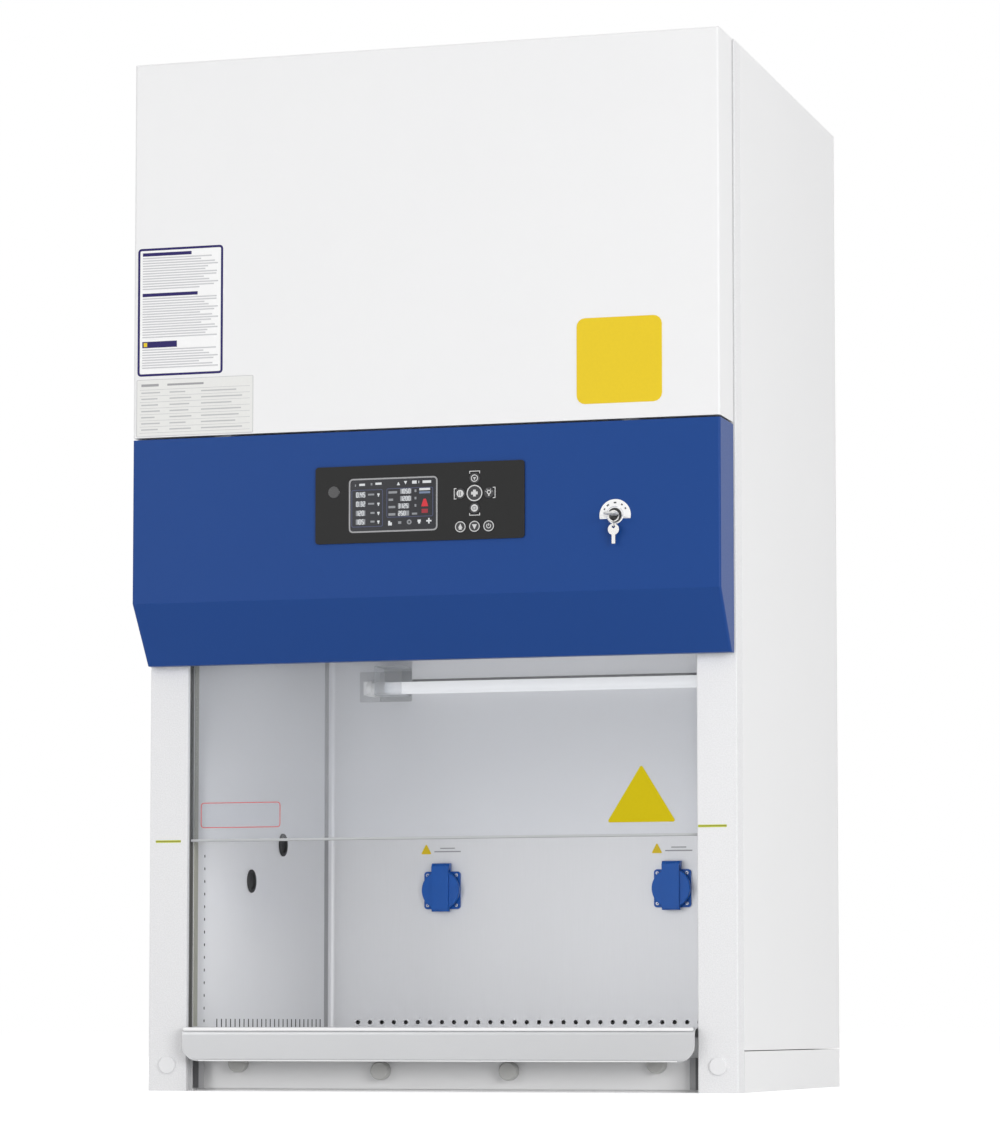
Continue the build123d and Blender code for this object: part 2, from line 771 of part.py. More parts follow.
# Blower: a spiral casing on the plenum's rear wall, its inlet towards the rear duct.
scroll_back_y = plenum_back_y - plenum_sheet
scroll_front_y = scroll_back_y - scroll_width


def scroll_outline(wall):
    """Quarter turns of growing radius round the impeller, then a straight throat upwards."""
    radius = scroll_start - wall
    lead = degrees(asin(wall / radius))
    CenterArc((0, 0), radius, 90 - lead, 90 + lead)
    CenterArc((scroll_step, 0), radius + scroll_step, 180, 90)
    CenterArc((scroll_step, scroll_step), radius + 2 * scroll_step, 270, 90)
    outer_x = radius + 3 * scroll_step
    Polyline(
        (outer_x, scroll_step),
        (outer_x, scroll_throat + wall),
        (wall, scroll_throat + wall),
        (wall, (radius**2 - wall**2) ** 0.5),
    )


with BuildPart() as blower_housing:
    with BuildSketch(front_plane(scroll_back_y).shift_origin((blower_x, scroll_back_y, blower_z))):
        with BuildLine():
            scroll_outline(0)
        make_face()
    extrude(amount=scroll_width)
    inner_plane = front_plane(scroll_back_y - scroll_sheet)
    with BuildSketch(inner_plane.shift_origin((blower_x, scroll_back_y - scroll_sheet, blower_z))):
        with BuildLine():
            scroll_outline(scroll_sheet)
        make_face()
    extrude(amount=scroll_width - 2 * scroll_sheet, mode=Mode.SUBTRACT)
    with BuildSketch(front_plane(scroll_back_y)):
        with Locations((blower_x, blower_z)):
            Circle(blower_inlet_radius)
    extrude(amount=scroll_sheet, mode=Mode.SUBTRACT)
    with BuildSketch(front_plane(scroll_front_y)):
        with Locations((blower_x, blower_z)):
            Circle(motor_shaft_radius + 4 * motor_shaft_gap)
    extrude(amount=-scroll_sheet, mode=Mode.SUBTRACT)
blower_housing.part.label = "blower_housing"
export_step(blower_housing.part, "parts/blower_housing.step")

impeller_back_y = scroll_back_y - scroll_sheet - impeller_gap
impeller_front_y = impeller_back_y - impeller_width
blade_root_radius = impeller_eye_radius + blade_thickness
blade_tip_radius = impeller_radius - blade_thickness
blade_tip = Vector(blade_tip_radius, 0).rotate(Axis.Z, blade_lead)
with BuildSketch() as blade_outline:
    with BuildLine():
        TangentArc((blade_root_radius, 0), (blade_tip.X, blade_tip.Y), tangent=(1, 0))
    trace(line_width=blade_thickness)

with BuildPart() as impeller:
    with BuildSketch(front_plane(impeller_back_y)):
        with Locations((blower_x, blower_z)):
            Circle(impeller_radius)
            Circle(impeller_eye_radius, mode=Mode.SUBTRACT)
    extrude(amount=impeller_disc)
    with BuildSketch(front_plane(impeller_front_y)):
        with Locations((blower_x, blower_z)):
            Circle(impeller_radius)
    extrude(amount=-impeller_disc)
    with BuildSketch(front_plane(impeller_front_y)):
        with Locations((blower_x, blower_z)):
            Circle(impeller_hub_radius)
    extrude(amount=-impeller_hub_length)
    with BuildSketch(front_plane(impeller_back_y)):
        with Locations((blower_x, blower_z)):
            with PolarLocations(0, blade_count):
                add(blade_outline.sketch)
    extrude(amount=impeller_width)
    with BuildSketch(front_plane(impeller_front_y)):
        with Locations((blower_x, blower_z)):
            Circle(motor_shaft_radius)
    extrude(amount=-impeller_hub_length / 2, mode=Mode.SUBTRACT)
impeller.part.label = "impeller"
export_step(impeller.part, "parts/impeller.step")

motor_shaft_length = impeller_front_y - scroll_front_y + impeller_hub_length / 2 - motor_shaft_short
with BuildPart() as blower_motor:
    with BuildSketch(front_plane(scroll_front_y)):
        with Locations((blower_x, blower_z)):
            Circle(motor_radius)
    extrude(amount=motor_length)
    fillet(blower_motor.faces().sort_by(Axis.Y)[0].edges(), radius=motor_round)
    with BuildSketch(front_plane(scroll_front_y)):
        with Locations((blower_x, blower_z)):
            Circle(motor_shaft_radius - motor_shaft_gap)
    extrude(amount=-motor_shaft_length)
blower_motor.part.label = "blower_motor"
export_step(blower_motor.part, "parts/blower_motor.step")

# ---------------------------------------------------------------- front covers
# The control cover hangs from hinges just behind its top edge, which swings past the
# lower edge of the upper cover.
hinge_setback = panel_sheet + hinge_radius + running_gap
pivot_y = front_y + hinge_setback
pivot_z = control_top - hinge_drop
upper_bottom = pivot_z + hypot(hinge_setback, hinge_drop) + running_gap
upper_z, upper_height = span(upper_bottom, body_height)
cover_y, cover_depth = span(front_y, cover_back_y)
with BuildPart() as upper_cover:
    with BuildSketch(Plane.XY.offset(upper_bottom)):
        with Locations((0, cover_y)):
            Rectangle(2 * cover_x, cover_depth)
    extrude(amount=upper_height)
    front_edges = upper_cover.edges().filter_by(Axis.Z).group_by(Axis.Y)[0]
    top_edges = upper_cover.faces().sort_by(Axis.Z)[-1].edges().sort_by(Axis.Y)[:1]
    fillet(front_edges + top_edges, radius=edge_round)
    with BuildSketch(Plane.XY.offset(upper_bottom + panel_sheet)):
        with Locations((0, cover_y + panel_sheet)):
            Rectangle(2 * (cover_x - panel_sheet), cover_depth)
    extrude(amount=upper_height - 2 * panel_sheet, mode=Mode.SUBTRACT)
    with BuildSketch(Plane.XY.offset(upper_bottom)):
        with Locations((0, cover_y + cover_lip)):
            Rectangle(2 * (cover_x - panel_sheet), cover_depth)
    extrude(amount=panel_sheet, mode=Mode.SUBTRACT)
upper_cover.part.label = "upper_cover"
export_step(upper_cover.part, "parts/upper_cover.step")

# Places on the control panel, measured from the cover's top edge and the overlay's ends.
hinge_x = cover_x - hinge_inset
overlay_top = control_top - overlay_drop
overlay_x = overlay_left + overlay_width / 2
overlay_z = overlay_top - overlay_height / 2
display_x = overlay_left + display_inset + display_width / 2
display_z = overlay_top - display_drop - display_height / 2
receiver_x = overlay_left + receiver_inset
receiver_z = overlay_top - receiver_drop
pad_x = overlay_left + overlay_width - pad_inset
pad_z = overlay_top - pad_drop
lower_key_z = overlay_top - lower_key_drop
lock_x = cover_x - lock_inset
lock_z = control_top - lock_drop


def key_places():
    """Name, centre and radius of each key: the round pad, then the lower row."""
    places = [
        ("key_set", pad_x, pad_z, pad_centre_radius),
        ("key_up", pad_x, pad_z + pad_pitch, pad_arrow_radius),
        ("key_down", pad_x, pad_z - pad_pitch, pad_arrow_radius),
        ("key_left", pad_x - pad_pitch, pad_z, pad_arrow_radius),
        ("key_right", pad_x + pad_pitch, pad_z, pad_arrow_radius),
    ]
    for index, name in enumerate(("key_fan", "key_light", "key_power")):
        places.append((name, pad_x + (index - 1) * lower_key_pitch, lower_key_z, lower_key_radius))
    return places


with BuildPart() as control_cover:
    with BuildSketch(side_plane(-cover_x)):
        with BuildLine():
            Polyline(
                (front_y, control_top),
                (front_y, bevel_top),
                (front_y + bevel_depth, control_bottom),
                (cover_back_y, control_bottom),
                (cover_back_y, control_top),
                close=True,
            )
        make_face()
    extrude(amount=2 * cover_x)
    front_faces = control_cover.faces().sort_by(Axis.Y)[:2]
    side_edges = [edge for edge in front_faces.edges() if abs(abs(edge.center().X) - cover_x) < 1e-3]
    fillet(side_edges, radius=edge_round)
    with BuildSketch(side_plane(-(cover_x - panel_sheet))):
        with BuildLine():
            Polyline(
                (front_y + panel_sheet, control_top),
                (front_y + panel_sheet, bevel_top + panel_sheet / 2),
                (front_y + bevel_depth + panel_sheet / 2, control_bottom + panel_sheet),
                (cover_back_y, control_bottom + panel_sheet),
                (cover_back_y, control_top),
                close=True,
            )
        make_face()
    extrude(amount=2 * (cover_x - panel_sheet), mode=Mode.SUBTRACT)
    # windows behind the overlay
    with BuildSketch(front_plane(front_y)):
        with Locations((display_x, display_z)):
            Rectangle(display_width + 2 * key_gap, display_height + 2 * key_gap)
        with Locations(*[(x, z) for name, x, z, radius in key_places()]):
            Circle(key_stem_radius + key_gap)
        with Locations((lock_x, lock_z)):
            Circle(lock_barrel_radius)
    extrude(amount=-panel_sheet, mode=Mode.SUBTRACT)
    # hinge knuckles, two to each hinge, with the leaf's knuckle between them
    for hinge_side in (-1, 1):
        for knuckle_side in (-1, 1):
            knuckle_x = hinge_side * hinge_x + knuckle_side * (hinge_leaf + running_gap)
            with BuildSketch(side_plane(knuckle_x - hinge_leaf / 2)):
                with Locations((pivot_y - hinge_setback / 2, pivot_z - hinge_radius / 2)):
                    Rectangle(hinge_setback - panel_sheet, hinge_radius)
                with Locations((pivot_y, pivot_z)):
                    Circle(hinge_radius)
                    Circle(hinge_pin_radius + hinge_pin_gap, mode=Mode.SUBTRACT)
            extrude(amount=hinge_leaf)
control_cover.part.label = "control_cover"
export_step(control_cover.part, "parts/control_cover.step")

with BuildPart() as cover_hinges:
    for hinge_side in (-1, 1):
        with BuildSketch(side_plane(hinge_side * hinge_x - hinge_leaf / 2)):
            with Locations((pivot_y, pivot_z)):
                Circle(hinge_radius)
            tongue_y, tongue_length = span(pivot_y, pivot_y + hinge_tongue)
            with Locations((tongue_y, pivot_z)):
                Rectangle(tongue_length, 2 * panel_sheet)
            riser_z, riser_height = span(pivot_z - panel_sheet, upper_bottom)
            with Locations((pivot_y + hinge_tongue - panel_sheet / 2, riser_z)):
                Rectangle(panel_sheet, riser_height)
        extrude(amount=hinge_leaf)
        pin_length = 3 * hinge_leaf + 2 * running_gap
        with BuildSketch(side_plane(hinge_side * hinge_x - pin_length / 2)):
            with Locations((pivot_y, pivot_z)):
                Circle(hinge_pin_radius)
        extrude(amount=pin_length)
cover_hinges.part.label = "cover_hinges"
export_step(cover_hinges.part, "parts/cover_hinges.step")

# ---------------------------------------------------------------- control panel
with BuildPart() as control_overlay:
    with BuildSketch(front_plane(front_y)):
        with Locations((overlay_x, overlay_z)):
            RectangleRounded(overlay_width, overlay_height, overlay_corner)
        with Locations((display_x, display_z)):
            RectangleRounded(
                display_width + 2 * key_gap,
                display_height + 2 * key_gap,
                display_corner,
                mode=Mode.SUBTRACT,
            )
        with Locations((receiver_x, receiver_z)):
            Circle(receiver_radius, mode=Mode.SUBTRACT)
        for name, x, z, radius in key_places():
            with Locations((x, z)):
                Circle(radius + key_gap, mode=Mode.SUBTRACT)
    extrude(amount=overlay_thickness)
control_overlay.part.label = "control_overlay"
export_step(control_overlay.part, "parts/control_overlay.step")

with BuildPart() as display_window:
    with BuildSketch(front_plane(key_face_y)):
        with Locations((display_x, display_z)):
            RectangleRounded(display_width, display_height, display_corner)
    extrude(amount=-(display_depth + overlay_thickness))
display_window.part.label = "display_window"
export_step(display_window.part, "parts/display_window.step")

with BuildPart() as receiver_lens:
    with BuildSketch(front_plane(front_y)):
        with Locations((receiver_x, receiver_z)):
            Circle(receiver_radius)
    extrude(amount=overlay_thickness + key_proud)
    fillet(receiver_lens.faces().sort_by(Axis.Y)[0].edges(), radius=receiver_round)
receiver_lens.part.label = "receiver_lens"
export_step(receiver_lens.part, "parts/receiver_lens.step")

board_y = front_y + board_setback
with BuildPart() as control_board:
    with BuildSketch(front_plane(board_y)):
        with Locations((overlay_x, overlay_z)):
            Rectangle(overlay_width - 2 * board_margin, overlay_height - 2 * board_margin)
    extrude(amount=-board_thickness)
    # spacers to the cover and the display's carrier
    spacer_pitch_x = overlay_width - 5 * board_margin
    spacer_pitch_z = overlay_height - 5 * board_margin
    with BuildSketch(front_plane(board_y)):
        with Locations((overlay_x, overlay_z)):
            with GridLocations(spacer_pitch_x, spacer_pitch_z, 2, 2):
                Circle(board_margin)
    extrude(amount=board_setback - panel_sheet)
    with BuildSketch(front_plane(board_y)):
        with Locations((display_x, display_z)):
            Rectangle(display_width - 2 * board_margin, display_height - 2 * board_margin)
    extrude(amount=board_setback - display_depth)
control_board.part.label = "control_board"
export_step(control_board.part, "parts/control_board.step")


def make_key(x, z, radius):
    """Round key: a domed cap in the overlay's hole and a stem through the cover."""
    with BuildPart() as key:
        with BuildSketch(front_plane(front_y - key_travel - key_gap)):
            with Locations((x, z)):
                Circle(radius)
        extrude(amount=overlay_thickness + key_proud - key_travel - key_gap)
        fillet(key.faces().sort_by(Axis.Y)[0].edges(), radius=key_proud / 2)
        with BuildSketch(front_plane(front_y - key_travel - key_gap)):
            with Locations((x, z)):
                Circle(key_stem_radius)
        extrude(amount=-(key_stem_length + key_travel + key_gap))
    return key


for name, x, z, radius in key_places():
    key = make_key(x, z, radius)
    key.part.label = name
    export_step(key.part, f"parts/{name}.step")

# ---------------------------------------------------------------- key lock
with BuildPart() as lock_barrel:
    with BuildSketch(front_plane(front_y)) as scale:
        with Locations((lock_x, lock_z)):
            Circle(lock_plate_radius)
        with Locations((lock_x, lock_z - lock_plate_drop - lock_plate_radius)):
            Rectangle(2 * lock_plate_radius, 2 * lock_plate_radius, mode=Mode.SUBTRACT)
    extrude(amount=lock_plate_thickness)
    with BuildSketch(front_plane(front_y)):
        with Locations((lock_x, lock_z)):
            Circle(lock_ring_radius)
    extrude(amount=lock_ring_proud)
    chamfer(lock_barrel.faces().sort_by(Axis.Y)[0].edges(), length=lock_ring_chamfer)
    with BuildSketch(front_plane(front_y)):
        with Locations((lock_x, lock_z)):
            Circle(lock_barrel_radius)
    extrude(amount=-lock_barrel_length)
    with BuildSketch(front_plane(front_y - lock_ring_proud)):
        with Locations((lock_x, lock_z)):
            Circle(rotor_radius + rotor_gap)
    extrude(amount=-(lock_ring_proud + lock_barrel_length - panel_sheet), mode=Mode.SUBTRACT)
lock_barrel.part.label = "lock_barrel"
export_step(lock_barrel.part, "parts/lock_barrel.step")

rotor_face_y = front_y - lock_ring_proud
neck_y = rotor_face_y - key_neck_length
with BuildPart() as lock_key:
    with BuildSketch(front_plane(rotor_face_y)):
        with Locations((lock_x, lock_z)):
            Circle(rotor_radius)
    extrude(amount=-(lock_ring_proud + lock_barrel_length - 2 * panel_sheet))
    with BuildSketch(Plane.XY.offset(lock_z - key_thickness / 2)):
        with Locations((lock_x, (rotor_face_y + neck_y) / 2)):
            Rectangle(key_neck_width, key_neck_length)
        with Locations((lock_x, neck_y - key_bow_length / 2)):
            RectangleRounded(key_bow_width, key_bow_length, key_bow_corner)
        with Locations((lock_x, neck_y - key_bow_length + 2 * key_hole_radius)):
            Circle(key_hole_radius, mode=Mode.SUBTRACT)
    extrude(amount=key_thickness)
lock_key.part.label = "lock_key"
export_step(lock_key.part, "parts/lock_key.step")

# Spare key on a wire ring round the neck of the key in the lock.
ring_y = (rotor_face_y + neck_y) / 2
ring_z = lock_z - ring_drop
link_z = ring_z - ring_radius - link_radius
spare_hole_z = link_z - link_radius
spare_z = spare_hole_z + spare_hole_radius + spare_hole_rim - spare_head_radius
spare_blade_z = spare_z - spare_head_radius - spare_blade_length / 2 + spare_blade_root
with BuildPart() as spare_key:
    with BuildSketch(front_plane(ring_y)):
        with Locations((lock_x, spare_z)):
            Circle(spare_head_radius)
        with Locations((lock_x, spare_blade_z)):
            Rectangle(spare_blade_width, spare_blade_length)
        with Locations((lock_x, spare_hole_z)):
            Circle(spare_hole_radius, mode=Mode.SUBTRACT)
    extrude(amount=spare_thickness / 2, both=True)
    # a wire ring round the neck and a link at right angles to it, through the key's hole
    with BuildSketch(front_plane(ring_y)):
        with Locations((lock_x, ring_z)):
            Circle(ring_radius + ring_wire)
            Circle(ring_radius - ring_wire, mode=Mode.SUBTRACT)
    extrude(amount=ring_wire, both=True)
    with BuildSketch(side_plane(lock_x)):
        with Locations((ring_y, link_z)):
            Circle(link_radius + ring_wire)
            Circle(link_radius - ring_wire, mode=Mode.SUBTRACT)
    extrude(amount=ring_wire, both=True)
spare_key.part.label = "spare_key"
export_step(spare_key.part, "parts/spare_key.step")

# ---------------------------------------------------------------- sash
glass_x = pillar_inner_x + guide_depth - guide_floor - running_gap
with BuildPart() as sash_glass:
    with BuildSketch(front_plane(glass_y)):
        with Locations((0, (glass_bottom + glass_top) / 2)):
            Rectangle(2 * glass_x, glass_height)
    extrude(amount=glass_thickness / 2, both=True)
sash_glass.part.label = "sash_glass"
export_step(sash_glass.part, "parts/sash_glass.step")

with BuildPart() as sash_edge:
    with BuildSketch(side_plane(-(pillar_inner_x - seam))):
        with Locations((glass_y, sash_z + sash_edge_height / 2)):
            Rectangle(sash_edge_width, sash_edge_height)
    extrude(amount=2 * (pillar_inner_x - seam))
    fillet(sash_edge.edges().filter_by(Axis.X).group_by(Axis.Z)[0], radius=sash_edge_round)
sash_edge.part.label = "sash_edge"
export_step(sash_edge.part, "parts/sash_edge.step")

with BuildPart() as sash_guides:
    with BuildSketch(Plane.XY.offset(arm_rest_height)):
        for side in (-1, 1):
            guide_x, guide_reach = span(pillar_inner_x, pillar_inner_x + guide_depth)
            with Locations((side * guide_x, glass_y)):
                Rectangle(guide_reach, guide_width)
            slot_x, slot_reach = span(pillar_inner_x, pillar_inner_x + guide_depth - guide_floor)
            with Locations((side * slot_x, glass_y)):
                Rectangle(slot_reach, guide_width - 2 * guide_wall, mode=Mode.SUBTRACT)
    extrude(amount=top_z - guide_drop - arm_rest_height)
sash_guides.part.label = "sash_guides"
export_step(sash_guides.part, "parts/sash_guides.step")

# Carriers: each grips a top corner of the glass and the rear run of one belt.
carrier_bottom = glass_top - carrier_grip
carrier_back_y = glass_y + glass_thickness / 2 + carrier_wall
carrier_front_y = belt_y - running_gap - carrier_wall
with BuildPart() as sash_carriers:
    carrier_y, carrier_depth = span(carrier_front_y, carrier_back_y)
    carrier_x = pillar_inner_x - seam - carrier_width / 2
    with BuildSketch(Plane.XY.offset(carrier_bottom)):
        with Locations((0, carrier_y)):
            with GridLocations(2 * carrier_x, 1, 2, 1):
                Rectangle(carrier_width, carrier_depth)
    extrude(amount=carrier_height)
    fillet(sash_carriers.edges().filter_by(Axis.Z), radius=carrier_round)
    with BuildSketch(front_plane(glass_y)):
        with Locations((0, (glass_bottom + glass_top) / 2)):
            Rectangle(2 * glass_x, glass_height)
    extrude(amount=glass_thickness / 2, both=True, mode=Mode.SUBTRACT)
    slit_y, slit_depth = span(belt_y - running_gap, belt_y + belt_thickness + running_gap)
    with BuildSketch(Plane.XY.offset(carrier_bottom)):
        with Locations((0, slit_y)):
            with GridLocations(2 * pulley_x, 1, 2, 1):
                Rectangle(belt_width + 2 * running_gap, slit_depth)
    extrude(amount=carrier_height, mode=Mode.SUBTRACT)
sash_carriers.part.label = "sash_carriers"
export_step(sash_carriers.part, "parts/sash_carriers.step")


def belt_loop(radius):
    """Stadium round the drive pulley and the idler, seen from the side."""
    loop_z, loop_length = span(idler_height, shaft_height)
    with Locations((shaft_y, loop_z)):
        SlotCenterToCenter(loop_length, 2 * radius, rotation=90)


with BuildPart() as lift_belts:
    for side in (-1, 1):
        with BuildSketch(side_plane(side * pulley_x - belt_width / 2)):
            belt_loop(belt_radius + belt_thickness)
        extrude(amount=belt_width)
        with BuildSketch(side_plane(side * pulley_x - belt_width / 2)):
            belt_loop(belt_radius)
        extrude(amount=belt_width, mode=Mode.SUBTRACT)
lift_belts.part.label = "lift_belts"
export_step(lift_belts.part, "parts/lift_belts.step")


def make_pulleys(height, bore):
    """Two flanged pulleys on one axis, one under each belt."""
    with BuildPart() as pulleys:
        for side in (-1, 1):
            with BuildSketch(side_plane(side * pulley_x - pulley_width / 2)):
                with Locations((shaft_y, height)):
                    Circle(pulley_radius)
            extrude(amount=pulley_width)
            for end in (-1, 1):
                rim_x = side * pulley_x + end * (pulley_width / 2 + pulley_flange_width / 2)
                with BuildSketch(side_plane(rim_x - pulley_flange_width / 2)):
                    with Locations((shaft_y, height)):
                        Circle(pulley_radius + pulley_flange)
                extrude(amount=pulley_flange_width)
        with BuildSketch(side_plane(-side_x)):
            with Locations((shaft_y, height)):
                Circle(bore)
        extrude(amount=body_width, mode=Mode.SUBTRACT)
    return pulleys


drive_pulleys = make_pulleys(shaft_height, shaft_radius)
drive_pulleys.part.label = "drive_pulleys"
export_step(drive_pulleys.part, "parts/drive_pulleys.step")

idler_pulleys = make_pulleys(idler_height, idler_pin_radius + rotor_gap)
idler_pulleys.part.label = "idler_pulleys"
export_step(idler_pulleys.part, "parts/idler_pulleys.step")

shaft_length = 2 * (pulley_x + shaft_overhang)
with BuildPart() as drive_shaft:
    with BuildSketch(side_plane(-shaft_length / 2)):
        with Locations((shaft_y, shaft_height)):
            Circle(shaft_radius)
    extrude(amount=shaft_length)
    chamfer(drive_shaft.edges(), length=shaft_chamfer)
drive_shaft.part.label = "drive_shaft"
export_step(drive_shaft.part, "parts/drive_shaft.step")

# Pillow blocks on the lintel and brackets with fixed pins on the pillars.
bearing_x = pulley_x - bearing_inset
gearbox_x = bearing_x - gearbox_inset
with BuildPart() as pulley_brackets:
    for side in (-1, 1):
        with BuildSketch(side_plane(side * bearing_x - bearing_width / 2)):
            block_y, block_depth = span(shaft_y - bearing_height / 2, lintel_y)
            with Locations((block_y, shaft_height)):
                Rectangle(block_depth, bearing_height)
            with Locations((shaft_y, shaft_height)):
                Circle(shaft_radius + rotor_gap, mode=Mode.SUBTRACT)
        extrude(amount=bearing_width)
        arm_x = pillar_inner_x + bracket_arm / 2 + seam
        with BuildSketch(side_plane(side * arm_x - bracket_arm / 2)):
            arm_y, arm_depth = span(shaft_y - 2 * idler_pin_radius, pillar_y)
            with Locations((arm_y, idler_height)):
                Rectangle(arm_depth, 4 * idler_pin_radius)
        extrude(amount=bracket_arm)
        with BuildSketch(front_plane(pillar_y)):
            with Locations((side * (arm_x + bearing_width / 2), idler_height)):
                Rectangle(bearing_width + bracket_arm, 6 * idler_pin_radius)
        extrude(amount=bracket_arm)
        pin_end = side * (pulley_x - pulley_width / 2 - 2 * bracket_arm)
        with BuildSketch(side_plane(pin_end)):
            with Locations((shaft_y, idler_height)):
                Circle(idler_pin_radius)
        extrude(amount=side * arm_x - pin_end)
pulley_brackets.part.label = "pulley_brackets"
export_step(pulley_brackets.part, "parts/pulley_brackets.step")

with BuildPart() as lift_motor:
    gear_y, gear_depth = span(shaft_y - gearbox_height / 2, lintel_y)
    with BuildSketch(side_plane(gearbox_x - gearbox_width / 2)) as gear_side:
        with Locations((gear_y, shaft_height)):
            Rectangle(gear_depth, gearbox_height)
        fillet(gear_side.vertices().group_by(Axis.Y)[0], radius=gearbox_round)
        with Locations((shaft_y, shaft_height)):
            Circle(shaft_radius + rotor_gap, mode=Mode.SUBTRACT)
    extrude(amount=gearbox_width)
    with BuildSketch(Plane.XY.offset(shaft_height + gearbox_height / 2)):
        with Locations((gearbox_x, shaft_y)):
            Circle(lift_motor_radius)
    extrude(amount=lift_motor_length)
    fillet(lift_motor.faces().sort_by(Axis.Z)[-1].edges(), radius=lift_motor_round)
lift_motor.part.label = "lift_motor"
export_step(lift_motor.part, "parts/lift_motor.step")

# ---------------------------------------------------------------- sockets on the back wall
socket_face_y = back_wall_y - socket_flange_thickness
socket_mouth_y = socket_face_y - socket_reach
lid_back_y = socket_mouth_y - lid_gap
lid_pin_y = lid_back_y
socket_places = [(socket_left_x, socket_z), (socket_right_x, socket_z)]
lid_pin_places = [(lid_pin_y, socket_z + lid_pin_height)]
ear_x = lid_knuckle_width / 2 + lid_ear_gap + lid_ear_width / 2
screw_pitch = socket_flange - 2 * screw_inset
with BuildPart() as socket_bodies:
    with BuildSketch(front_plane(back_wall_y)):
        with Locations(*socket_places):
            RectangleRounded(socket_flange, socket_flange, socket_corner)
    extrude(amount=socket_flange_thickness)
    with BuildSketch(front_plane(socket_face_y)):
        with Locations(*socket_places):
            Circle(socket_radius)
    extrude(amount=socket_reach)
    with BuildSketch(front_plane(back_wall_y)):
        with Locations(*socket_places):
            Circle(socket_back_radius)
    extrude(amount=-socket_back_depth)
    with BuildSketch(front_plane(socket_mouth_y)):
        with Locations(*socket_places):
            Circle(socket_radius - socket_wall)
    extrude(amount=-(insert_recess + insert_depth), mode=Mode.SUBTRACT)
    with BuildSketch(front_plane(socket_face_y)):
        with Locations(*socket_places):
            with GridLocations(screw_pitch, screw_pitch, 2, 2):
                Circle(screw_head_radius)
    extrude(amount=screw_head_height)
    # ears that hold the lid's pin
    for centre_x, centre_z in socket_places:
        for end in (-1, 1):
            with BuildSketch(side_plane(centre_x + end * ear_x - lid_ear_width / 2)):
                ear_y, ear_depth = span(socket_mouth_y, back_wall_y - socket_flange_thickness / 2)
                ear_z, ear_height = span(centre_z + socket_radius - lid_ear_root, centre_z + lid_pin_height)
                with Locations((ear_y, ear_z + lid_knuckle_radius / 2)):
                    Rectangle(ear_depth, ear_height + lid_knuckle_radius)
                with Locations(*lid_pin_places):
                    Circle(lid_knuckle_radius)
            extrude(amount=lid_ear_width)
        with BuildSketch(side_plane(centre_x - ear_x)):
            with Locations(*lid_pin_places):
                Circle(lid_pin_radius)
        extrude(amount=2 * ear_x)
socket_bodies.part.label = "socket_bodies"
export_step(socket_bodies.part, "parts/socket_bodies.step")

with BuildPart() as socket_inserts:
    with BuildSketch(front_plane(socket_mouth_y + insert_recess)):
        with Locations(*socket_places):
            Circle(socket_radius - socket_wall)
            with PolarLocations(contact_circle_radius, 3, start_angle=90):
                Circle(contact_hole_radius, mode=Mode.SUBTRACT)
    extrude(amount=-insert_depth)
socket_inserts.part.label = "socket_inserts"
export_step(socket_inserts.part, "parts/socket_inserts.step")


def make_socket_lid(centre_x):
    """Round sprung lid: hollow disc, raised rib up to its knuckle, tab at the foot."""
    with BuildPart() as lid:
        with BuildSketch(front_plane(lid_back_y)):
            with Locations((centre_x, socket_z)):
                Circle(lid_radius)
            tab_z, tab_height = span(socket_z - lid_radius - lid_tab_reach, socket_z - lid_radius / 2)
            with Locations((centre_x, tab_z)):
                Rectangle(lid_tab_width, tab_height)
        extrude(amount=lid_thickness)
        fillet(lid.faces().sort_by(Axis.Y)[0].edges(), radius=lid_round)
        with BuildSketch(front_plane(lid_back_y - lid_thickness)):
            rib_z, rib_length = span(socket_z - lid_radius, socket_z + lid_pin_height)
            with Locations((centre_x, rib_z)):
                Rectangle(lid_rib_width, rib_length)
        extrude(amount=lid_rib_proud)
        with BuildSketch(front_plane(lid_back_y)):
            arm_z, arm_length = span(socket_z + lid_radius / 2, socket_z + lid_pin_height)
            with Locations((centre_x, arm_z)):
                Rectangle(lid_knuckle_width, arm_length)
        extrude(amount=lid_thickness)
        with BuildSketch(side_plane(centre_x - lid_knuckle_width / 2)):
            with Locations(*lid_pin_places):
                Circle(lid_knuckle_radius)
        extrude(amount=lid_knuckle_width)
        with BuildSketch(front_plane(lid_back_y)):
            with Locations((centre_x, socket_z)):
                Circle(socket_radius - socket_wall)
        extrude(amount=lid_hollow, mode=Mode.SUBTRACT)
        with BuildSketch(side_plane(centre_x - lid_knuckle_width / 2)):
            with Locations(*lid_pin_places):
                Circle(lid_bore_radius)
        extrude(amount=lid_knuckle_width, mode=Mode.SUBTRACT)
    return lid


left_socket_lid = make_socket_lid(socket_left_x)
left_socket_lid.part.label = "left_socket_lid"
export_step(left_socket_lid.part, "parts/left_socket_lid.step")

right_socket_lid = make_socket_lid(socket_right_x)
right_socket_lid.part.label = "right_socket_lid"
export_step(right_socket_lid.part, "parts/right_socket_lid.step")

# ---------------------------------------------------------------- lamps
tube_y = back_wall_y - tube_standoff
tube_z = ceiling_height - tube_drop
with BuildPart() as uv_lamp_tube:
    with BuildSketch(side_plane(-tube_length / 2)):
        with Locations((tube_y, tube_z)):
            Circle(tube_radius)
    extrude(amount=tube_length)
uv_lamp_tube.part.label = "uv_lamp_tube"
export_step(uv_lamp_tube.part, "parts/uv_lamp_tube.step")

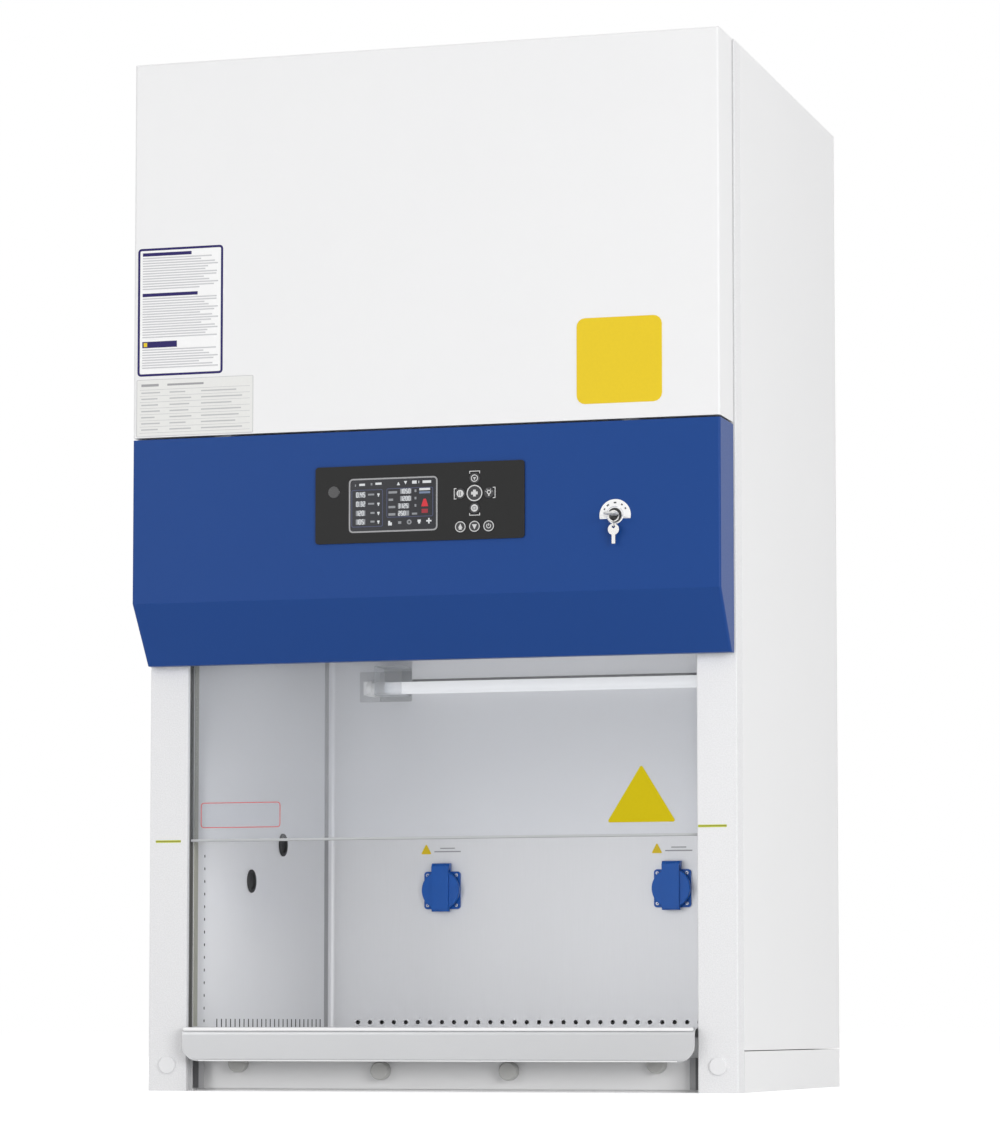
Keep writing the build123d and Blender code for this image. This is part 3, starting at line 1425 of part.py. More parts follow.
with BuildPart() as uv_lamp_holders:
    for side in (-1, 1):
        plate_x = side * (tube_length / 2 + lamp_cap_length - holder_arm + holder_width / 2)
        with BuildSketch(front_plane(back_wall_y)):
            with Locations((plate_x, tube_z + holder_rise)):
                RectangleRounded(holder_width, holder_height, holder_corner)
        extrude(amount=holder_thickness)
        cap_x = side * tube_length / 2
        with BuildSketch(side_plane(cap_x)):
            with Locations((tube_y, tube_z)):
                Circle(lamp_cap_radius)
        extrude(amount=side * lamp_cap_length)
        arm_start = side * (tube_length / 2 + lamp_cap_length)
        with BuildSketch(side_plane(arm_start)):
            arm_y, arm_depth = span(tube_y - lamp_cap_radius, back_wall_y)
            with Locations((arm_y, tube_z)):
                Rectangle(arm_depth, 2 * lamp_cap_radius)
        extrude(amount=side * holder_arm)
uv_lamp_holders.part.label = "uv_lamp_holders"
export_step(uv_lamp_holders.part, "parts/uv_lamp_holders.step")

work_lamp_y = wall_front_y + work_lamp_setback + work_lamp_width / 2
with BuildPart() as work_lamp:
    with BuildSketch(side_plane(-work_lamp_length / 2)) as lamp_side:
        with Locations((work_lamp_y, ceiling_height - work_lamp_height / 2)):
            Rectangle(work_lamp_width, work_lamp_height)
        fillet(lamp_side.vertices().group_by(Axis.Z)[0], radius=work_lamp_round)
    extrude(amount=work_lamp_length)
work_lamp.part.label = "work_lamp"
export_step(work_lamp.part, "parts/work_lamp.step")

# ---------------------------------------------------------------- mains inlet
with BuildPart() as power_inlet:
    with BuildSketch(front_plane(rear_y)):
        with Locations((inlet_x, inlet_z)):
            RectangleRounded(inlet_width, inlet_height, inlet_wall)
    extrude(amount=-inlet_proud)
    with BuildSketch(front_plane(rear_y)):
        with Locations((inlet_x, inlet_z)):
            Rectangle(inlet_width - 2 * inlet_wall, inlet_height - 2 * inlet_wall)
    extrude(amount=inlet_depth)
    with BuildSketch(front_plane(rear_y + inlet_proud)):
        with Locations((inlet_x, inlet_z)):
            Rectangle(inlet_socket_width, inlet_socket_height)
    extrude(amount=inlet_depth - inlet_wall, mode=Mode.SUBTRACT)
    with BuildSketch(front_plane(rear_y + inlet_proud - inlet_depth + inlet_wall)):
        with Locations((inlet_x, inlet_z)):
            with GridLocations(inlet_socket_width / 3, 1, 3, 1):
                Rectangle(inlet_pin_width, inlet_pin_height)
    extrude(amount=-(inlet_depth - 3 * inlet_wall))
power_inlet.part.label = "power_inlet"
export_step(power_inlet.part, "parts/power_inlet.step")
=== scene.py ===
import json
from math import pi, radians

import bmesh
import bpy
import numpy as np
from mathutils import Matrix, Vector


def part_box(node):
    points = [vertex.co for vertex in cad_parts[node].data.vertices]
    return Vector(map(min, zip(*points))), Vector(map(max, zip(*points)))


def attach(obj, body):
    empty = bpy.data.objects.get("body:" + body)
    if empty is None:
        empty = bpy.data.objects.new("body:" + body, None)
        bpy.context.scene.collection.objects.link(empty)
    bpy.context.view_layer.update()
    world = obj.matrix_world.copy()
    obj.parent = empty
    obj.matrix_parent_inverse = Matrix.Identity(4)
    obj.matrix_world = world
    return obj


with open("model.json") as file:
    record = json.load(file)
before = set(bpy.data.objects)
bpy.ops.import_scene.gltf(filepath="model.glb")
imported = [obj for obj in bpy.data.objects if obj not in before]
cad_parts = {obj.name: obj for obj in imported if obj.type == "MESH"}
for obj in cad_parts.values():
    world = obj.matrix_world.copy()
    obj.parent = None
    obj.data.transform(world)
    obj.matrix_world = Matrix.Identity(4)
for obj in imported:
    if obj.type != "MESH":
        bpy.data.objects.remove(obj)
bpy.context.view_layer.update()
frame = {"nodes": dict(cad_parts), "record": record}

mm = 0.001

# ---------------------------------------------------------------- places taken from the frame
DISPLAY_LOW, DISPLAY_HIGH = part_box("display_window")
PILLAR_LOW, PILLAR_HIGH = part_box("right_pillar")
BACK_LOW, BACK_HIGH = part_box("inner_back_wall")
WALL_LOW, WALL_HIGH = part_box("inner_left_wall")
TUBE_LOW, TUBE_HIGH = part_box("uv_lamp_tube")
LOCK_LOW, LOCK_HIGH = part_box("lock_barrel")
REAR_LOW, REAR_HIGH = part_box("rear_panel")

FACE_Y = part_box("upper_cover")[0].y  # front face of both covers
OVERLAY_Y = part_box("control_overlay")[0].y
GLASS_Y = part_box("sash_glass")[0].y
STICKER = 0.5 * mm  # thickness of a printed plate
PRINT = 0.12 * mm  # thickness of a printed mark


# ---------------------------------------------------------------- shader tools
class Field:
    """A socket of a material. Arithmetic on it adds Math nodes and gives a new Field."""

    def __init__(self, finish, socket):
        self.finish = finish
        self.socket = socket

    def math(self, operation, *others, clamp=False):
        settings = {"operation": operation, "use_clamp": clamp}
        return self.finish.node("ShaderNodeMath", settings, dict(enumerate((self, *others))))

    def __add__(self, other):
        return self.math("ADD", other)

    def __mul__(self, other):
        return self.math("MULTIPLY", other)

    def __sub__(self, other):
        return self.math("SUBTRACT", other)

    def __truediv__(self, other):
        return self.math("DIVIDE", other)

    def __rsub__(self, other):
        return self.finish.node("ShaderNodeMath", {"operation": "SUBTRACT"}, {0: other, 1: self})

    def above(self, edge, soft):
        """0 below edge, 1 above it, with a straight ramp as wide as soft."""
        return ((self - edge) / soft + 0.5).math("MULTIPLY", 1.0, clamp=True)

    def part(self, index):
        """One component of a vector."""
        return self.finish.node("ShaderNodeSeparateXYZ", {}, {0: self}, output=index)


class Finish:
    """One material. Its nodes are added by type, settings and the values of their sockets."""

    def __init__(self, name):
        self.material = bpy.data.materials.new(name)
        self.material.use_nodes = True
        self.tree = self.material.node_tree
        self.tree.nodes.clear()

    def node(self, kind, settings, inputs, output=0):
        made = self.tree.nodes.new(kind)
        for key, value in settings.items():
            setattr(made, key, value)
        for key, value in inputs.items():
            if isinstance(value, Field):
                self.tree.links.new(value.socket, made.inputs[key])
            else:
                made.inputs[key].default_value = value
        return Field(self, made.outputs[output])

    def place(self):
        """Object coordinates, in metres."""
        return self.node("ShaderNodeTexCoord", {}, {}, output="Object")

    def noise(self, scale, stretch=(1, 1, 1), detail=3.0, rough=0.5):
        """Noise from 0 to 1 on object coordinates; scale is in features to a metre."""
        place = self.node("ShaderNodeMapping", {}, {"Vector": self.place(), "Scale": stretch})
        inputs = {"Vector": place, "Scale": scale, "Detail": detail, "Roughness": rough}
        return self.node("ShaderNodeTexNoise", {}, inputs)

    def mix(self, factor, low, high):
        """Colour that goes from low to high."""
        return self.node("ShaderNodeMix", {"data_type": "RGBA"}, {0: factor, 6: low, 7: high}, output=2)

    def shade(self, color, factor, amount):
        """The colour, lighter and darker by amount as factor goes from 1 to 0."""
        dark = (*(channel * (1 - amount) for channel in color), 1)
        light = (*(channel * (1 + amount) for channel in color), 1)
        return self.mix(factor, dark, light)

    def bump(self, height, distance, strength=1.0):
        """Normal that is tilted by a height; distance is in metres."""
        inputs = {"Height": height, "Distance": distance, "Strength": strength}
        return self.node("ShaderNodeBump", {}, inputs)

    def principled(self, **inputs):
        """Principled shader; an underscore in a name stands for a space."""
        named = {key.replace("_", " "): value for key, value in inputs.items()}
        return self.node("ShaderNodeBsdfPrincipled", {}, named)

    def output(self, shader):
        """Sends a shader to the material's output."""
        end = self.tree.nodes.new("ShaderNodeOutputMaterial")
        self.tree.links.new(shader.socket, end.inputs["Surface"])
        return self.material


def opaque(color):
    """Colour with full alpha."""
    return (*color, 1.0)


# ---------------------------------------------------------------- finishes
def powder_coat(name, color, grain, relief, roughness, mottle=0.012, gloss_level=0.5):
    """Sprayed paint: fine orange peel, slightly uneven gloss and a faint cloudiness."""
    finish = Finish(name)
    peel = finish.noise(grain, detail=2.0)
    clouds = finish.noise(5.0, detail=2.0)
    gloss = finish.noise(grain / 3, detail=1.0)
    base = finish.shade(color, clouds * 0.7 + peel * 0.3, mottle)
    normal = finish.bump(peel, relief)
    rough = gloss * 0.08 + (roughness - 0.04)
    shader = finish.principled(
        Base_Color=base, Roughness=rough, Normal=normal, Specular_IOR_Level=gloss_level
    )
    return finish.output(shader)


def textured_coat(name, color):
    """Coarse powder coat: raised grains with fine pits between; the grains are glossier, and the colour is
    lighter on them and darker low down as painted highlight and shade.
    """
    finish = Finish(name)
    grains = finish.noise(620.0, detail=4.0, rough=0.62)
    pits = finish.noise(1500.0, detail=2.0)
    raised = grains.above(0.52, 0.22)
    # painted highlight and shade: the colour follows the height of the relief
    base = finish.shade(color, raised * 0.65 + pits * 0.35, 0.055)
    normal = finish.bump(grains * 0.7 + pits * 0.3, 0.0007, 0.7)
    rough = 0.62 - raised * 0.12
    return finish.output(finish.principled(Base_Color=base, Roughness=rough, Normal=normal))


def brushed_steel(name, color, along, roughness, metallic):
    """Stainless sheet: long fine strokes along X or Z, and soft rolling clouds."""
    finish = Finish(name)
    stretch = {"x": (0.02, 1, 1), "z": (1, 1, 0.02)}[along]
    strokes = finish.noise(1400.0, stretch, detail=3.0, rough=0.6)
    clouds = finish.noise(7.0, detail=3.0)
    base = finish.shade(color, strokes * 0.6 + clouds * 0.4, 0.05)
    rough = strokes * 0.10 + clouds * 0.06 + (roughness - 0.08)
    normal = finish.bump(strokes, 0.00006, 0.5)
    shader = finish.principled(Base_Color=base, Roughness=rough, Metallic=metallic, Normal=normal)
    return finish.output(shader)


def plated_metal(name, color, roughness):
    """Plated or polished metal with fine wear that dulls it in patches."""
    finish = Finish(name)
    wear = finish.noise(420.0, detail=4.0, rough=0.6)
    clouds = finish.noise(35.0, detail=2.0)
    base = finish.shade(color, clouds, 0.05)
    rough = wear * 0.14 + (roughness - 0.05)
    normal = finish.bump(wear, 0.00003, 0.5)
    shader = finish.principled(Base_Color=base, Roughness=rough, Metallic=1.0, Normal=normal)
    return finish.output(shader)


def galvanised_sheet(name, color):
    """Zinc coated sheet: spangles a few millimetres wide, each with its own grey and gloss."""
    finish = Finish(name)
    cells = {"Vector": finish.place(), "Scale": 130.0}
    tone = finish.node("ShaderNodeTexVoronoi", {}, cells, output="Color").part(0)
    base = finish.shade(color, tone, 0.12)
    rough = tone * 0.2 + 0.32
    return finish.output(finish.principled(Base_Color=base, Roughness=rough, Metallic=0.9))


def moulded_plastic(name, color, roughness, gloss_level=0.5):
    """Moulded plastic: fine spark-eroded grain and slightly uneven gloss."""
    finish = Finish(name)
    grain = finish.noise(1600.0, detail=2.0)
    clouds = finish.noise(60.0, detail=2.0)
    base = finish.shade(color, clouds, 0.04)
    rough = grain * 0.10 + (roughness - 0.05)
    normal = finish.bump(grain, 0.00008, 0.6)
    shader = finish.principled(
        Base_Color=base, Roughness=rough, Normal=normal, Specular_IOR_Level=gloss_level
    )
    return finish.output(shader)


def two_tone(name, near, far, axis, edge, roughness):
    """Moulded plastic that turns from one colour to another at a distance along an axis."""
    finish = Finish(name)
    beyond = finish.place().part(axis).math("ABSOLUTE").above(edge, 0.0006)
    grain = finish.noise(1500.0, detail=2.0)
    base = finish.mix(beyond, finish.shade(near, grain, 0.05), finish.shade(far, grain, 0.03))
    normal = finish.bump(grain, 0.00012, 0.6)
    rough = grain * 0.10 + (roughness - 0.05)
    return finish.output(finish.principled(Base_Color=base, Roughness=rough, Normal=normal))


def printed_film(name, color, roughness, mottle=0.015, gloss_level=0.5):
    """Printed film or ink: flat colour with a faint mottle."""
    finish = Finish(name)
    mottled = finish.noise(300.0, detail=2.0)
    base = finish.shade(color, mottled, mottle)
    rough = mottled * 0.06 + roughness
    return finish.output(
        finish.principled(Base_Color=base, Roughness=rough, Specular_IOR_Level=gloss_level)
    )


def lit_mark(name, color):
    """A lit mark on the screen: dark film whose own light is slightly uneven."""
    finish = Finish(name)
    glow = finish.shade(color, finish.noise(700.0, detail=1.0), 0.12)
    shader = finish.principled(
        Base_Color=(0.02, 0.02, 0.02, 1),
        Roughness=0.35,
        Specular_IOR_Level=0.2,
        Emission_Color=glow,
        Emission_Strength=1.0,
    )
    return finish.output(shader)


def clear_pane(name, tint, veil, roughness=0.03):
    """Clear sheet: lets light straight through, with a faint veil and a mirror at grazing view."""
    finish = Finish(name)
    clear = finish.node("ShaderNodeBsdfTransparent", {}, {"Color": opaque(tint)})
    film = finish.noise(9.0, (1, 1, 0.4), detail=3.0)
    gloss = finish.principled(Base_Color=(0.9, 0.92, 0.93, 1), Roughness=roughness)
    edge = finish.node("ShaderNodeFresnel", {}, {"IOR": 1.45})
    share = edge * 0.8 + film * (0.4 * veil) + 0.8 * veil
    return finish.output(finish.node("ShaderNodeMixShader", {}, {0: share, 1: clear, 2: gloss}))


def lamp_glass(name, glow):
    """Unlit tube of milky glass with a painted glow for its bright look, a little dimmer towards its ends."""
    finish = Finish(name)
    end = finish.place().part(0).math("ABSOLUTE") / TUBE_HIGH.x
    dim = end.above(0.97, 0.06)
    color = finish.mix(dim, (1.0, 1.0, 1.0, 1), (0.55, 0.57, 0.60, 1))
    shader = finish.principled(
        Base_Color=(0.50, 0.51, 0.52, 1), Roughness=0.12, Emission_Color=color, Emission_Strength=glow
    )
    return finish.output(shader)


def pleated_media(name, color):
    """Filter paper folded into narrow pleats that run from front to rear, with painted shade in the folds."""
    finish = Finish(name)
    pleat = (finish.place().part(0) * (2 * pi / 0.004)).math("SINE") * 0.5 + 0.5
    fibre = finish.noise(900.0, detail=3.0)
    # painted shade and light: darker in the pleats' valleys, lighter on their ridges
    base = finish.shade(color, pleat * 0.7 + fibre * 0.3, 0.14)
    normal = finish.bump(pleat, 0.0018)
    return finish.output(finish.principled(Base_Color=base, Roughness=0.9, Normal=normal))


def soft_rubber(name, color):
    """Matt rubber with a fine dusty grain."""
    finish = Finish(name)
    grain = finish.noise(1100.0, detail=3.0)
    dust = finish.noise(40.0, detail=3.0)
    base = finish.shade(color, dust * 0.6 + grain * 0.4, 0.16)
    normal = finish.bump(grain, 0.0001, 0.7)
    return finish.output(finish.principled(Base_Color=base, Roughness=0.72, Normal=normal))


# Each row gives a name, a linear colour and then the numbers of its own kind of finish.
FINISHES = {
    "white_paint": powder_coat("white_paint", (0.84, 0.84, 0.845), 900.0, 0.00005, 0.36),
    "blue_paint": powder_coat("blue_paint", (0.009, 0.056, 0.245), 1000.0, 0.00006, 0.40, 0.03, 0.18),
    "textured_paint": textured_coat("textured_paint", (0.84, 0.84, 0.85)),
    "stainless": brushed_steel("stainless", (0.79, 0.795, 0.81), "z", 0.46, 0.35),
    "stainless_arm": brushed_steel("stainless_arm", (0.56, 0.565, 0.575), "x", 0.36, 0.5),
    "zinc": plated_metal("zinc", (0.62, 0.63, 0.64), 0.30),
    "chrome": plated_metal("chrome", (0.78, 0.78, 0.79), 0.16),
    "brass_key": plated_metal("brass_key", (0.74, 0.73, 0.71), 0.22),
    "glass": clear_pane("glass", (0.980, 0.984, 0.996), 0.05),
    "rubber": soft_rubber("rubber", (0.03, 0.03, 0.032)),
    "grey_plastic": moulded_plastic("grey_plastic", (0.42, 0.43, 0.44), 0.45),
    "white_plastic": moulded_plastic("white_plastic", (0.85, 0.85, 0.84), 0.34),
    "black_plastic": moulded_plastic("black_plastic", (0.02, 0.02, 0.022), 0.40),
    "blue_plastic": moulded_plastic("blue_plastic", (0.012, 0.105, 0.44), 0.30, gloss_level=0.25),
    "overlay_film": printed_film("overlay_film", (0.016, 0.016, 0.016), 0.42, gloss_level=0.2),
    "screen": printed_film("screen", (0.016, 0.017, 0.022), 0.16, gloss_level=0.3),
    "dark_lens": printed_film("dark_lens", (0.018, 0.018, 0.02), 0.12),
    "board_green": printed_film("board_green", (0.03, 0.16, 0.07), 0.35, 0.10),
    # the lamp is off: this glow is painted brightness
    "lamp_tube": lamp_glass("lamp_tube", 0.52),
    "lamp_diffuser": printed_film("lamp_diffuser", (0.88, 0.88, 0.88), 0.45),
    "filter_pack": pleated_media("filter_pack", (0.84, 0.84, 0.81)),
    "galvanised": galvanised_sheet("galvanised", (0.52, 0.54, 0.55)),
    "motor_black": powder_coat("motor_black", (0.04, 0.04, 0.045), 700.0, 0.0001, 0.45, 0.08),
    "belt": soft_rubber("belt", (0.045, 0.045, 0.045)),
}

# Finishes of the trim and the print that are made here.
EXTRA = {
    "guide_rubber": soft_rubber("guide_rubber", (0.16, 0.16, 0.155)),
    "gasket_olive": soft_rubber("gasket_olive", (0.40, 0.40, 0.345)),
    # painted light: the white plate over the lamp tube
    "batten_painted_light": powder_coat("batten_painted_light", (0.90, 0.90, 0.905), 800.0, 0.00004, 0.40),
    # painted highlight of the arm rest's top edge, and the bright hem at its foot
    "hem_and_painted_highlight": brushed_steel("hem_and_painted_highlight", (0.90, 0.90, 0.905), "x", 0.30, 0.2),
    # painted shade seen through the side walls' openings
    "painted_opening_shade": printed_film("painted_opening_shade", (0.012, 0.012, 0.013), 0.70, 0.015, 0.2),
    # painted shadow: the dark strips beside the lower panel and under the lamp's white plate
    "painted_gap_shadow": printed_film("painted_gap_shadow", (0.10, 0.10, 0.105), 0.60),
    "plate_white": printed_film("plate_white", (0.91, 0.91, 0.91), 0.38),
    "plate_silver": printed_film("plate_silver", (0.78, 0.78, 0.76), 0.34, 0.03),
    "plate_yellow": printed_film("plate_yellow", (0.79, 0.57, 0.012), 0.36, 0.03, 0.3),
    "plate_amber": printed_film("plate_amber", (0.62, 0.49, 0.004), 0.40, 0.03, 0.1),
    "ink_navy": printed_film("ink_navy", (0.022, 0.015, 0.115), 0.42, gloss_level=0.2),
    "ink_grey": printed_film("ink_grey", (0.34, 0.34, 0.35), 0.45),
    "ink_pale": printed_film("ink_pale", (0.50, 0.50, 0.51), 0.45),
    "ink_faint": printed_film("ink_faint", (0.58, 0.58, 0.60), 0.45, gloss_level=0.3),
    "ink_red": printed_film("ink_red", (0.62, 0.10, 0.10), 0.42),
    "ink_lime": printed_film("ink_lime", (0.55, 0.60, 0.04), 0.45),
    "ink_olive": printed_film("ink_olive", (0.20, 0.20, 0.02), 0.45),
    "ink_black": printed_film("ink_black", (0.02, 0.02, 0.022), 0.42),
    "ink_light": printed_film("ink_light", (0.62, 0.62, 0.62), 0.42),
    "rotor_black": moulded_plastic("rotor_black", (0.012, 0.012, 0.012), 0.30),
    "lit_white": lit_mark("lit_white", (0.66, 0.68, 0.70)),
    "lit_grey": lit_mark("lit_grey", (0.26, 0.27, 0.29)),
    "lit_blue": lit_mark("lit_blue", (0.055, 0.065, 0.13)),
    "lit_sky": lit_mark("lit_sky", (0.16, 0.21, 0.32)),
    "lit_red": lit_mark("lit_red", (0.62, 0.015, 0.03)),
    "lit_dim_red": lit_mark("lit_dim_red", (0.32, 0.015, 0.03)),
    "clip_clear": clear_pane("clip_clear", (0.93, 0.935, 0.945), 0.08, 0.2),
}

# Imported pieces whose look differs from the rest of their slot.
NODE_FINISH = {
    "sash_guides": EXTRA["guide_rubber"],
    "front_lower_panel": powder_coat("panel_paint", (0.87, 0.87, 0.875), 900.0, 0.00005, 0.44),
    "panel_caps": two_tone("cap_plastic", (0.50, 0.50, 0.485), (0.84, 0.84, 0.85), 0, 0.30, 0.45),
    "uv_lamp_holders": two_tone(
        "holder_plastic", (0.85, 0.85, 0.84), (0.56, 0.565, 0.58), 1, 0.282, 0.40
    ),
    "sash_edge": moulded_plastic("edge_strip", (0.50, 0.51, 0.52), 0.40),
    "lock_key": two_tone("rotor_and_bow", (0.014, 0.014, 0.015), (0.62, 0.62, 0.61), 1, 0.3245, 0.32),
}


def dress_nodes():
    """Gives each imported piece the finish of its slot, or its own where the slot's doesn't do."""
    for subpart in frame["record"]["subparts"]:
        node = frame["nodes"][subpart["node"]]
        finish = NODE_FINISH.get(subpart["node"]) or FINISHES[subpart["material_slot"]]
        for slot in node.material_slots:
            slot.material = finish


# ---------------------------------------------------------------- mesh tools
class Piece:
    """Gathers surfaces that are worked out on grids, and makes them one mesh."""

    def __init__(self):
        self.points = []
        self.faces = []
        self.count = 0

    def grid(self, points, wrap=True):
        """Adds faces over an array of points, shape (rows, columns, 3); wrap closes each row."""
        rows, columns = points.shape[:2]
        row = np.arange(rows - 1)[:, None] * columns
        column = np.arange(columns if wrap else columns - 1)[None, :]
        following = (column + 1) % columns
        corners = (row + column, row + following, row + columns + following, row + columns + column)
        self.faces.append(np.stack(corners, axis=-1).reshape(-1, 4) + self.count)
        self.points.append(points.reshape(-1, 3))
        self.count += rows * columns
        return self

    def finish(self, name, material, body, slot):
        """Makes the mesh, welds its seams and poles, and lets it ride on a body."""
        mesh = bpy.data.meshes.new(name)
        mesh.from_pydata(np.concatenate(self.points), [], np.concatenate(self.faces))
        work = bmesh.new()
        work.from_mesh(mesh)
        bmesh.ops.remove_doubles(work, verts=work.verts, dist=1e-7)
        bmesh.ops.dissolve_degenerate(work, edges=work.edges, dist=1e-7)
        bmesh.ops.recalc_face_normals(work, faces=work.faces)
        work.to_mesh(mesh)
        work.free()
        mesh.materials.append(material)
        made = bpy.data.objects.new(name, mesh)
        bpy.context.scene.collection.objects.link(made)
        mesh.shade_smooth()
        mesh.set_sharp_from_angle(angle=radians(35))
        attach(made, body)
        return made


def rounded(corners, radius, inset=0.0, steps=5):
    """Outline of a convex polygon with round corners, as (points, 2).

    At each corner an arc turns from the normal of the edge before it to that of the edge after,
    about a centre that lies radius inside both edges. inset draws the whole outline inwards.
    """
    corners = np.asarray(corners, float)
    edges = np.roll(corners, -1, axis=0) - corners
    edges /= np.linalg.norm(edges, axis=1)[:, None]
    after = np.stack([edges[:, 1], -edges[:, 0]], axis=1)
    before = np.roll(after, 1, axis=0)
    reach = (before + after) / (1 + (before * after).sum(axis=1))[:, None]
    arc = max(radius - inset, 0.0)
    centres = corners - reach * (inset + arc)
    start = np.arctan2(before[:, 1], before[:, 0])
    turn = (np.arctan2(after[:, 1], after[:, 0]) - start) % (2 * pi)
    angle = start[:, None] + turn[:, None] * np.linspace(0, 1, steps)
    ring = centres[:, None, :] + arc * np.stack([np.cos(angle), np.sin(angle)], axis=-1)
    return ring.reshape(-1, 2)


def rectangle(x, z, width, height):
    """Corners of an upright rectangle round its middle."""
    left, right = x - width / 2, x + width / 2
    foot, top = z - height / 2, z + height / 2
    return [(left, foot), (right, foot), (right, top), (left, top)]


def on_front(flat, y):
    """Points of a flat outline in X and Z, as seen from the front, at depth y."""
    return np.stack([flat[:, 0], np.broadcast_to(y, len(flat)), flat[:, 1]], axis=1)


def plate(piece, corners, radius, back_y, thickness, edge=0.0):
    """Flat plate that faces the operator: its outline is carried up, over a soft edge and in."""
    front_y = back_y - thickness
    rings = [(0.0, back_y), (0.0, front_y + edge), (edge, front_y)]
    rows = [on_front(rounded(corners, radius, inset), y) for inset, y in rings]
    middle = rows[0].mean(axis=0)
    front_middle = np.tile((middle[0], front_y, middle[2]), (len(rows[0]), 1))
    back_middle = np.tile((middle[0], back_y, middle[2]), (len(rows[0]), 1))
    piece.grid(np.stack([back_middle, *rows, front_middle]))
    return piece


def frame_ring(piece, corners, radius, width, back_y, thickness):
    """Flat frame: the band between an outline and the same outline drawn in by width."""
    front_y = back_y - thickness
    rings = [(0.0, back_y), (0.0, front_y), (width, front_y), (width, back_y), (0.0, back_y)]
    piece.grid(np.stack([on_front(rounded(corners, radius, inset), y) for inset, y in rings]))
    return piece


def tiles(piece, spans, back_y, thickness=PRINT):
    """Many small upright boxes at once; spans is (boxes, 4) of middle x, middle z, width, height."""
    for x, z, width, height in np.atleast_2d(spans):
        plate(piece, rectangle(x, z, width, height), 0.0, back_y, thickness)
    return piece


def turned(piece, centre, profile, steps=24, axis="y"):
    """Surface of revolution: (radius, offset) pairs turned about X or Y through the centre."""
    profile = np.asarray(profile, float)
    angle = np.linspace(0, 2 * pi, steps, endpoint=False)
    across = profile[:, :1] * np.cos(angle)
    up = profile[:, :1] * np.sin(angle)
    along = np.broadcast_to(profile[:, 1:], across.shape)
    order = {"y": (across, along, up), "x": (along, across, up)}[axis]
    piece.grid(np.stack(order, axis=-1) + np.asarray(centre, float))
    return piece


def annulus(piece, x, z, outer, inner, back_y):
    """Flat printed ring that faces the operator."""
    profile = [(inner, 0.0), (outer, 0.0), (outer, -PRINT), (inner, -PRINT), (inner, 0.0)]
    return turned(piece, (x, back_y, z), profile, 32)


def arc_band(piece, x, z, radius, width, start, end, back_y, thickness=PRINT, steps=14):
    """Flat band along an arc between two angles in degrees, closed at both ends."""
    angle = np.radians(np.linspace(start, end, steps))[:, None]
    reach = radius + width * np.array([0.0, 0.5, 0.5, -0.5, -0.5, 0.0])
    depth = back_y - thickness * np.array([0.0, 0.0, 1.0, 1.0, 0.0, 0.0])
    across = x + reach * np.cos(angle)
    up = z + reach * np.sin(angle)
    band = np.stack([across, np.broadcast_to(depth, across.shape), up], axis=-1)
    ends = [np.broadcast_to(band[i].mean(axis=0), band[i].shape) for i in (0, -1)]
    piece.grid(np.concatenate([ends[0][None], band, ends[1][None]]))
    return piece


# ---------------------------------------------------------------- plates on the covers
def blank_sign():
    """Square yellow plate on the right of the upper cover."""
    middle_x, middle_z, width, height = 240.5 * mm, 845.6 * mm, 102 * mm, 100.5 * mm
    corners = rectangle(middle_x, middle_z, width, height)
    piece = plate(Piece(), corners, 10 * mm, FACE_Y, STICKER, 0.15 * mm)
    piece.finish("sign_plate", EXTRA["plate_yellow"], "cabinet", "white_plastic")


def instruction_plate():
    """White plate with a navy border, plain heading bars and close rows of thin grey bars."""
    left, top = -355.2 * mm, 1006 * mm
    width, height = 109.2 * mm, 155.5 * mm
    middle = (left + width / 2, top - height / 2)
    board = plate(Piece(), rectangle(*middle, width, height), 5 * mm, FACE_Y, STICKER, 0.1 * mm)
    board.finish("instruction_plate", EXTRA["plate_white"], "cabinet", "white_plastic")
    ink_y = FACE_Y - STICKER
    border = rectangle(*middle, width - 1 * mm, height - 1 * mm)
    navy = frame_ring(Piece(), border, 4.5 * mm, 2.8 * mm, ink_y, PRINT)
    margin, line_pitch, line_height = 6.5 * mm, 3.1 * mm, 1.5 * mm
    text_left, text_width = left + margin, width - 2 * margin
    blocks = [  # top edge of the plate to the heading, its length and height, lines under it
        (8 * mm, 62 * mm, 4 * mm, 13),
        (57 * mm, 70 * mm, 4 * mm, 16),
        (117 * mm, 44 * mm, 7.5 * mm, 8),
    ]
    rows = []
    for drop, length, tall, count in blocks:
        tiles(navy, [(text_left + length / 2, top - drop, length, tall)], ink_y)
        for row in range(count):
            reach = text_width * (0.74 + 0.26 * abs(np.sin(2.3 * row + drop * 90)))
            z = top - drop - tall / 2 - (row + 1) * line_pitch + 0.6 * mm
            rows.append((text_left + reach / 2, z, reach, line_height))
    navy.finish("instruction_headings", EXTRA["ink_navy"], "cabinet", "white_plastic")
    tiles(Piece(), rows, ink_y).finish("instruction_lines", EXTRA["ink_faint"], "cabinet", "white_plastic")
    corners = rectangle(text_left + 4 * mm, top - blocks[-1][0], 4.5 * mm, 5 * mm)
    patch = plate(Piece(), corners, 0.6 * mm, ink_y - PRINT, PRINT)
    patch.finish("instruction_patch", EXTRA["plate_yellow"], "cabinet", "white_plastic")


